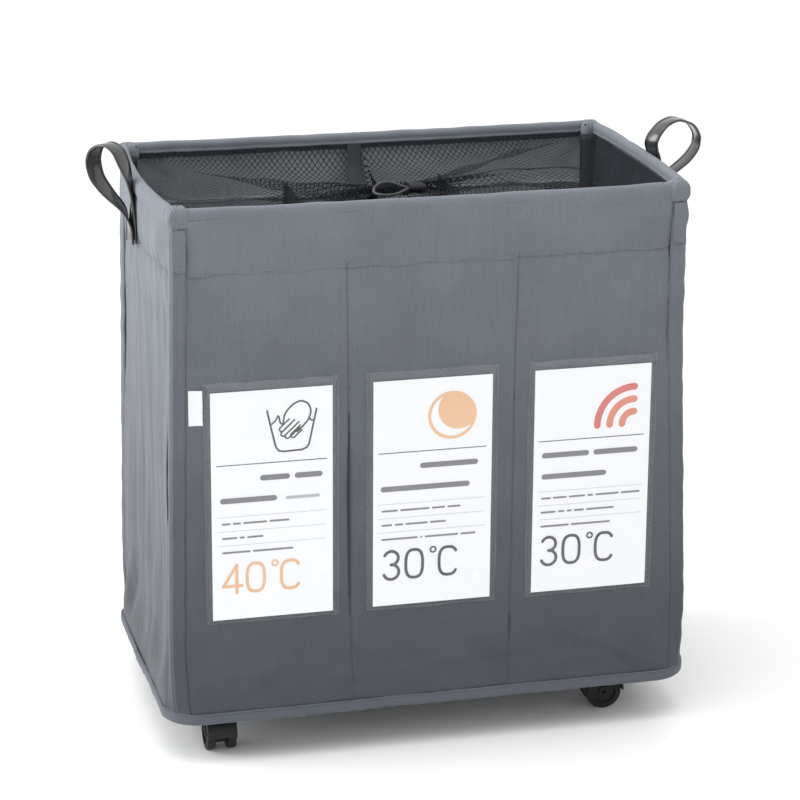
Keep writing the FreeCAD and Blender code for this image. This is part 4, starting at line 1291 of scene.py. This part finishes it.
def add_pocket(name):
    """Clear sheet sewn on three sides, open at the top."""
    low, high = POCKETS[name]
    u = spaced(low[0], high[0], 3.0, (low[0], high[0]), 9.0, 1.2)
    z = spaced(low[2], high[2], 3.0, (low[2],), 9.0, 1.2)
    grid_z, grid_u = np.meshgrid(z, u, indexing="ij")
    out = film_out(name, grid_u, grid_z)
    points = on_wall("front", grid_u, grid_z, out)
    seed = 760 + list(POCKETS).index(name)
    points[..., 0] += 0.6 * waves(seed, 120, grid_z, terms=3) * np.sign(grid_u - (low[0] + high[0]) / 2)
    points[..., 2] += 0.5 * waves(seed + 4, 90, grid_u, terms=3)
    obj = surface_piece(f"pocket_{name}_film", points, FILM, 0.25, flip=True)
    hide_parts(f"label_pocket_{name}")
    threads = []
    x0, x1, z0, z1 = low[0] + 2.6, high[0] - 2.6, low[2] + 2.6, high[2] - 2
    for start, end in (((x0, z1), (x0, z0)), ((x0, z0), (x1, z0)), ((x1, z0), (x1, z1))):
        line_u, line_z = np.linspace(start[0], end[0], 90), np.linspace(start[1], end[1], 90)
        line = on_wall("front", line_u, line_z, film_out(name, line_u, line_z) + 0.1)
        threads += stitch_row(line, np.broadcast_to((0, -1, 0), line.shape), 3.0, 0.66, 0.24, 0.15)
    stitches = mesh_piece(f"pocket_{name}_stitches", *join_meshes(threads), DARK_THREAD)


class Print:
    """Flat shapes on a card's face, in millimetres from its lower left corner."""

    def __init__(self, name):
        self.name = name
        self.low, self.high = CARDS[name]
        self.parts, self.inks, self.used = [], [], []

    def add(self, ink, points, faces):
        if ink not in self.inks:
            self.inks.append(ink)
        flat = np.asarray(points, float)
        y = np.full(len(flat), self.low[1] - 0.10 - 0.002 * len(self.parts))  # one coat over another
        self.parts.append((np.stack([self.low[0] + flat[:, 0], y, self.low[2] + flat[:, 1]], -1), faces))
        self.used += [self.inks.index(ink)] * len(faces)

    def stroke(self, ink, line, width, closed=False):
        """A line of even width with round ends."""
        line = np.asarray(line, float)
        count = len(line)
        ahead = np.roll(line, -1, 0) - line if closed else np.diff(line, axis=0)
        ahead = ahead / np.linalg.norm(ahead, axis=1)[:, None]
        if closed:
            tangent = ahead + np.roll(ahead, 1, 0)
        else:
            tangent = np.concatenate([ahead[:1], ahead[:-1] + ahead[1:], ahead[-1:]])
        tangent = tangent / np.linalg.norm(tangent, axis=1)[:, None]
        normal = np.stack([-tangent[:, 1], tangent[:, 0]], -1)
        reference = ahead if closed else np.concatenate([ahead, ahead[-1:]])
        stretch = 1 / np.clip((tangent * reference).sum(1), 0.55, 1)
        wide = normal * (width / 2 * stretch)[:, None]
        points = np.stack([line + wide, line - wide], 1).reshape(-1, 2)
        last = count if closed else count - 1
        faces = [[2 * k, 2 * k + 1, 2 * ((k + 1) % count) + 1, 2 * ((k + 1) % count)] for k in range(last)]
        self.add(ink, points, faces)
        if not closed:
            for end, direction in ((line[0], -ahead[0]), (line[-1], ahead[-1])):
                start = math.atan2(direction[1], direction[0]) - math.pi / 2
                turn = start + np.linspace(0, math.pi, 9)
                cap = end + width / 2 * np.stack([np.cos(turn), np.sin(turn)], -1)
                self.add(ink, cap, [list(range(9))[::-1]])

    def bar(self, ink, left, right, height, thickness):
        """A rounded bar that stands for a run of words."""
        self.stroke(ink, [(left + thickness / 2, height), (right - thickness / 2, height)], thickness)

    def arc(self, ink, centre, radius, start, end, width, steps=40):
        turn = np.radians(np.linspace(start, end, steps))
        line = np.stack([centre[0] + radius * np.cos(turn), centre[1] + radius * np.sin(turn)], -1)
        closed = abs(end - start) >= 360
        self.stroke(ink, line[:-1] if closed else line, width, closed)

    def finish(self):
        obj = mesh_piece(
            f"card_{self.name}_print", *join_meshes(self.parts), self.inks,
            body=f"card_{self.name}", smooth=False, face_material=self.used,
        )


DIGIT_WIDTH = 3.3


def round_box(sheet, ink, centre, half_wide, half_tall, start, end, width):
    """Part of a tall rounded outline, between two directions in degrees."""
    turn = np.radians(np.linspace(start, end, 49))
    turn = turn[:-1] if end - start >= 360 else turn
    x = np.sign(np.cos(turn)) * np.abs(np.cos(turn)) ** 0.72
    z = np.sign(np.sin(turn)) * np.abs(np.sin(turn)) ** 0.72
    line = np.stack([centre[0] + half_wide * x, centre[1] + half_tall * z], -1)
    sheet.stroke(ink, line, width, closed=end - start >= 360)


def digit_three(sheet, ink, x, z):
    """The figure 3."""
    sheet.arc(ink, (x, z + 23.8), 7.8, 155, -90, DIGIT_WIDTH)
    sheet.arc(ink, (x, z + 8.0), 8.4, 90, -160, DIGIT_WIDTH)


def digit_four(sheet, ink, x, z):
    """The figure 4."""
    sheet.stroke(ink, [(x + 5.0, z), (x + 5.0, z + 31)], DIGIT_WIDTH)
    sheet.stroke(ink, [(x + 5.0, z + 31), (x - 9.5, z + 7.5)], DIGIT_WIDTH)
    sheet.stroke(ink, [(x - 9.5, z + 7.5), (x + 10.5, z + 7.5)], DIGIT_WIDTH)


def temperature(sheet, ink, first_digit, x, z):
    """Two figures and a degree sign."""
    first_digit(sheet, ink, x, z)
    round_box(sheet, ink, (x + 25.4, z + 15.8), 9.3, 15.8, 0, 360, DIGIT_WIDTH)
    sheet.arc(ink, (x + 46.2, z + 30.0), 3.0, 0, 360, 1.9, steps=25)
    round_box(sheet, ink, (x + 63.0, z + 15.8), 10.0, 15.8, 38, 322, DIGIT_WIDTH)


def card_rules(sheet):
    """One dark rule and three thin ones, as on every card."""
    sheet.bar(DARK_INK, 5.2, 123.8, 172.2, 1.0)
    for height in (115.0, 99.0, 83.2):
        sheet.bar(RULE_INK, 5.2, 123.4, height, 0.45)


def words(sheet, height, thickness, ink, runs):
    """Plain bars in place of words."""
    for left, right in runs:
        sheet.bar(ink, left, right, height, thickness)


def print_left():
    sheet = Print("left")
    card_rules(sheet)
    tub = [
        (60, 229), (64.5, 208), (69, 189), (72, 184.6), (77, 183.4), (97, 184), (102, 186), (104.6, 190),
        (112.7, 228),
    ]
    sheet.stroke(DARK_INK, tub, 2.0)
    sheet.stroke(DARK_INK, resample([(64.5, 214), (69, 218), (72, 223), (74, 215), (77, 213)], 16), 1.8)
    sheet.stroke(DARK_INK, resample([(104.5, 219), (107, 216), (110, 216)], 8), 1.8)
    palm = [
        (77, 214), (78.5, 223), (83, 230), (89.5, 235.5), (96.5, 237.5), (103.5, 234), (106.5, 226),
        (104, 217), (98, 210),
    ]
    sheet.stroke(DARK_INK, resample(palm + [(92, 204)], 48), 1.9)
    slant = np.array([math.cos(math.radians(43)), math.sin(math.radians(43))])
    beside = np.array([-slant[1], slant[0]])
    for tip, length in (((75.5, 207.8), 13), ((77.0, 202.6), 19), ((81.5, 200.0), 19), ((87.5, 200.4), 13)):
        turn = np.radians(np.linspace(90, 270, 9))
        finger = [np.array(tip) + 2.5 * (slant * math.cos(a) + beside * math.sin(a)) for a in turn]
        finger = [finger[0] + slant * length] + finger + [finger[-1] + slant * length * 0.8]
        sheet.stroke(DARK_INK, finger, 1.7)
    words(sheet, 156.0, 6.0, GREY_INK, [(52, 84), (89, 119)])
    words(sheet, 133.0, 6.0, GREY_INK, [(9, 70)])
    words(sheet, 132.0, 3.4, RULE_INK, [(79, 116)])
    words(sheet, 107.4, 2.1, GREY_INK, [(10.5, 20), (22.5, 31), (33.5, 59), (61.5, 83)])
    words(sheet, 91.4, 2.1, GREY_INK, [(10.5, 27), (29.5, 35), (37.5, 55)])
    words(sheet, 75.4, 2.1, GREY_INK, [(10.5, 41), (43.5, 87)])
    temperature(sheet, ORANGE_INK, digit_four, 21, 30)
    sheet.finish()


def print_centre():
    sheet = Print("centre")
    card_rules(sheet)
    centre, outer, inner, disc = np.array((86.0, 210.0)), 26.6, 23.2, 22.4
    sheet.arc(MOON_INK, centre, (outer + inner) / 2, 0, 360, outer - inner, steps=73)
    turn = np.radians(np.linspace(0, 360, 73)[:-1])
    bright = centre + (7.0, 6.6) + disc * np.stack([np.cos(turn), np.sin(turn)], -1)
    from_centre = bright - centre
    far = np.linalg.norm(from_centre, axis=1)
    bright = centre + from_centre * np.minimum(1, (inner + 0.3) / far)[:, None]
    sheet.add(MOON_INK, bright, [list(range(72))[::-1]])
    words(sheet, 156.0, 6.0, GREY_INK, [(51, 115)])
    words(sheet, 132.0, 6.0, GREY_INK, [(8, 106)])
    words(sheet, 107.4, 2.1, GREY_INK, [(9, 27), (29.5, 62), (64.5, 79), (81.5, 96)])
    words(sheet, 91.4, 2.1, GREY_INK, [(9, 21), (23.5, 33), (35.5, 60), (62.5, 80)])
    words(sheet, 75.4, 2.1, GREY_INK, [(9, 49), (52, 54), (57, 94), (96.5, 113)])
    temperature(sheet, DARK_INK, digit_three, 20, 30)
    sheet.finish()


def print_right():
    sheet = Print("right")
    card_rules(sheet)
    for ink, radius in ((RED_INK, 41.0), (CORAL_INK, 27.0), (CORAL_INK, 13.0)):
        sheet.arc(ink, (111.5, 186.0), radius, 90, 180, 7.6)
    words(sheet, 156.0, 6.0, GREY_INK, [(9, 62), (67, 117)])
    words(sheet, 132.0, 6.0, GREY_INK, [(9, 82)])
    words(
        sheet, 107.4, 2.1, GREY_INK, [(9, 20), (22.5, 38), (40.5, 59), (61.5, 68), (70.5, 97), (99.5, 121)],
    )
    words(sheet, 91.4, 2.1, GREY_INK, [(9, 26), (28.5, 36), (38.5, 44), (46.5, 58), (60.5, 92)])
    words(sheet, 75.4, 2.1, GREY_INK, [(9, 41), (43.5, 88)])
    temperature(sheet, DARK_INK, digit_three, 19, 31)
    sheet.finish()


def add_tag():
    """Blank woven tag, caught in the seam at one edge and curling off the cloth at the other."""
    low, high = box("seam_tag")
    u = np.linspace(low[0] - 1.5, high[0], 12)
    z = np.linspace(low[2], high[2], 26)
    grid_z, grid_u = np.meshgrid(z, u, indexing="ij")
    free = (grid_u - low[0]) / (high[0] - low[0])
    out = front_cloth_out(grid_u, grid_z) + 0.8 + 1.6 * np.clip(free, 0, 1) ** 2
    out = out + 0.5 * waves(800, 16, grid_u, grid_z) * np.clip(free, 0, 1)
    points = on_wall("front", grid_u, grid_z, out)
    obj = surface_piece("seam_tag_cloth", points, TAG, 0.5, flip=True)
    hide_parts("seam_tag")


for name in POCKETS:
    add_pocket(name)
print_left()
print_centre()
print_right()
add_tag()


# Strap handles --------------------------------------------------------------------------------------

# Each point: out from the side wall, towards the back (the front on the right), height above the rim's top,
# and turn of the strap's width in degrees.
STRAP_LINES = {
    "left": [
        (12.0, 0.0, -69.0, 14.0), (12.0, 0.0, -56.0, 12.0), (12.0, -3.0, -39.5, 2.0),
        (13.0, -8.0, -20.0, -14.0),
        (17.0, -13.0, 0.0, -26.0), (22.0, -13.0, 16.0, -46.0), (27.0, -9.0, 28.5, -52.0),
        (33.5, -2.0, 34.0, -50.0),
        (39.5, 6.0, 33.5, -50.0), (45.5, 14.0, 28.5, -55.0), (48.5, 20.0, 19.5, -62.0),
        (49.0, 22.0, 9.5, -66.0),
        (46.0, 20.0, -4.0, -64.0), (39.5, 15.0, -15.0, -56.0), (32.0, 10.0, -24.5, -44.0),
        (23.5, 5.0, -34.0, -28.0),
        (18.0, 1.0, -45.0, -8.0), (15.5, 0.0, -57.5, 8.0), (15.5, 0.0, -69.5, 14.0),
    ],
    "right": [
        (7.0, 0.0, -67.0, 0.0), (7.0, 1.0, -53.0, 0.0), (8.0, 4.0, -38.0, 4.0), (12.0, 8.0, -24.0, 12.0),
        (14.0, 12.0, -10.0, 20.0), (9.0, 14.5, 3.0, 25.0), (8.0, 16.0, 12.0, 25.0),
        (12.5, 16.0, 21.0, 22.0),
        (22.5, 12.0, 29.5, 18.0), (37.5, 4.0, 32.5, 14.0), (52.5, -5.0, 28.0, 10.0),
        (63.0, -11.0, 22.0, 7.0),
        (70.0, -15.0, 13.0, 6.0), (72.5, -17.0, 5.5, 5.0), (71.0, -17.0, -3.5, 6.0),
        (65.5, -14.0, -10.5, 8.0),
        (57.0, -10.0, -17.5, 10.0), (47.5, -6.0, -23.0, 10.0), (36.0, -3.0, -30.0, 8.0),
        (24.0, -1.0, -38.0, 5.0),
        (14.0, 0.0, -48.0, 2.0), (10.5, 0.0, -58.0, 0.0), (10.0, 0.0, -67.5, 0.0),
    ],
}
STRAP_HALF = 9.8
STRAP_FACE = [  # across the width, and through the thickness
    (-9.8, 0.0), (-9.4, 1.15), (-8.3, 1.5), (-7.2, 1.2), (-6.7, 0.6), (-6.2, 0.75), (-4.0, 1.1),
    (0.0, 1.25),
    (4.0, 1.1), (6.2, 0.75), (6.7, 0.6), (7.2, 1.2), (8.3, 1.5), (9.4, 1.15),
]
STRAP_PROFILE = STRAP_FACE + [(-across, -through) for across, through in STRAP_FACE]


def add_handle(side):
    """Piped strap, sewn down at both ends in one stack and looping up and out over the rim."""
    sign = SIDES[side]
    line = resample(STRAP_LINES[side], 190)
    centres, turn = line[:, :3], np.radians(line[:, 3])
    wall = wall_offset(side, -sign * centres[:, 1], np.minimum(RIM_TOP + centres[:, 2], RIM_LOW - 4))
    first = np.arange(len(line)) < len(line) / 2
    sewn = wall + np.where(first, 1.9, 5.0)
    centres[:, 0] = np.maximum(centres[:, 0], np.where(centres[:, 2] < -14, sewn, -99))
    tangent = np.gradient(centres, axis=0)
    tangent /= np.linalg.norm(tangent, axis=1)[:, None]
    width = np.stack([np.sin(turn), np.cos(turn), np.zeros(len(turn))], -1)
    width -= tangent * (width * tangent).sum(1)[:, None]
    width /= np.linalg.norm(width, axis=1)[:, None]
    through = np.cross(tangent, width)
    points = sweep(centres, width, through, STRAP_PROFILE)
    foot = np.abs(np.array(STRAP_PROFILE)[:, 0]) / STRAP_HALF
    for end in (0, -1):
        for k in range(9):
            row = k if end == 0 else -1 - k
            points[row, :, 2] -= 6.5 * (foot - 0.35) * (1 - k / 9)

    def placed(local):
        local = np.asarray(local, float)
        return np.stack(
            [sign * (HALF_X + local[..., 0]), -sign * local[..., 1], RIM_TOP + local[..., 2]], -1,
        )

    count = len(STRAP_PROFILE)
    solid = placed(points)
    faces = [list(f) for f in grid_faces(len(line), count, wrap_columns=True)]
    edge = [1 if abs((STRAP_PROFILE[k % count][0] + STRAP_PROFILE[(k + 1) % count][0]) / 2) > 6.4 else 0
            for k in range(count)] * (len(line) - 1)
    faces += [list(range(count)), list(range((len(line) - 1) * count, len(line) * count))[::-1]]
    obj = mesh_piece(f"handle_{side}_strap", solid.reshape(-1, 3), faces, [STRAP, STRAP_EDGE], body=None,
                     face_material=edge + [1, 1])
    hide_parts(f"handle_{side}_tab", f"handle_{side}_loop")
    threads = []
    for at in (-6.7, 6.7):
        for face in (1, -1):
            rows = sweep(centres, width, through, [(at, face * 0.72)])[:, 0]
            threads += stitch_row(
                placed(rows), placed(rows + through * face) - placed(rows), 3.0, 0.7, 0.24, 0.1,
            )
    stitches = mesh_piece(f"handle_{side}_stitches", *join_meshes(threads), DARK_THREAD, body=None)
    for piece in (obj, stitches):
        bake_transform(piece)


for name in SIDES:
    add_handle(name)


# Studio ---------------------------------------------------------------------------------------------

LIGHTS = (  # name, place, aim, watts, size
    ("left_softbox", (-2.6, 0.5, 1.5), (0, 0, 0.35), 62, (1.8, 2.0)),
    ("overhead", (-0.3, -0.4, 2.6), (0, 0, 0.2), 29, (2.4, 1.8)),
)


def add_light(name, where, towards, energy, size):
    data = bpy.data.lights.new(name, "AREA")
    data.energy = energy
    data.shape = "RECTANGLE"
    data.size, data.size_y = size
    obj = bpy.data.objects.new(name, data)
    bpy.context.scene.collection.objects.link(obj)
    obj.location = where
    obj.rotation_euler = (Vector(towards) - Vector(where)).to_track_quat("-Z", "Y").to_euler()


def add_studio():
    """White sweep with a big soft source from the left and one overhead."""
    material, tree, surface = shader("floor", Roughness=0.28)
    surface.inputs["Specular IOR Level"].default_value = 0.35
    where = place(tree)
    tree.links.new(
        blend_colour(tree, noise(tree, where, 400.0, 2.0), (0.93, 0.932, 0.935), (0.95, 0.951, 0.953)),
        surface.inputs["Base Color"],
    )
    floor = mesh_piece("floor", [(-9000, -9000, 0), (9000, -9000, 0), (9000, 9000, 0), (-9000, 9000, 0)],
                       [[0, 1, 2, 3]], material, body=None, smooth=False)
    world = bpy.data.worlds.new("studio")
    world.use_nodes = True
    backdrop = world.node_tree.nodes["Background"]
    backdrop.inputs["Color"].default_value = (1.0, 1.0, 1.0, 1)
    backdrop.inputs["Strength"].default_value = 1.0
    bpy.context.scene.world = world
    bpy.context.scene.view_settings.view_transform = "Standard"
    for light in LIGHTS:
        add_light(*light)


add_studio()
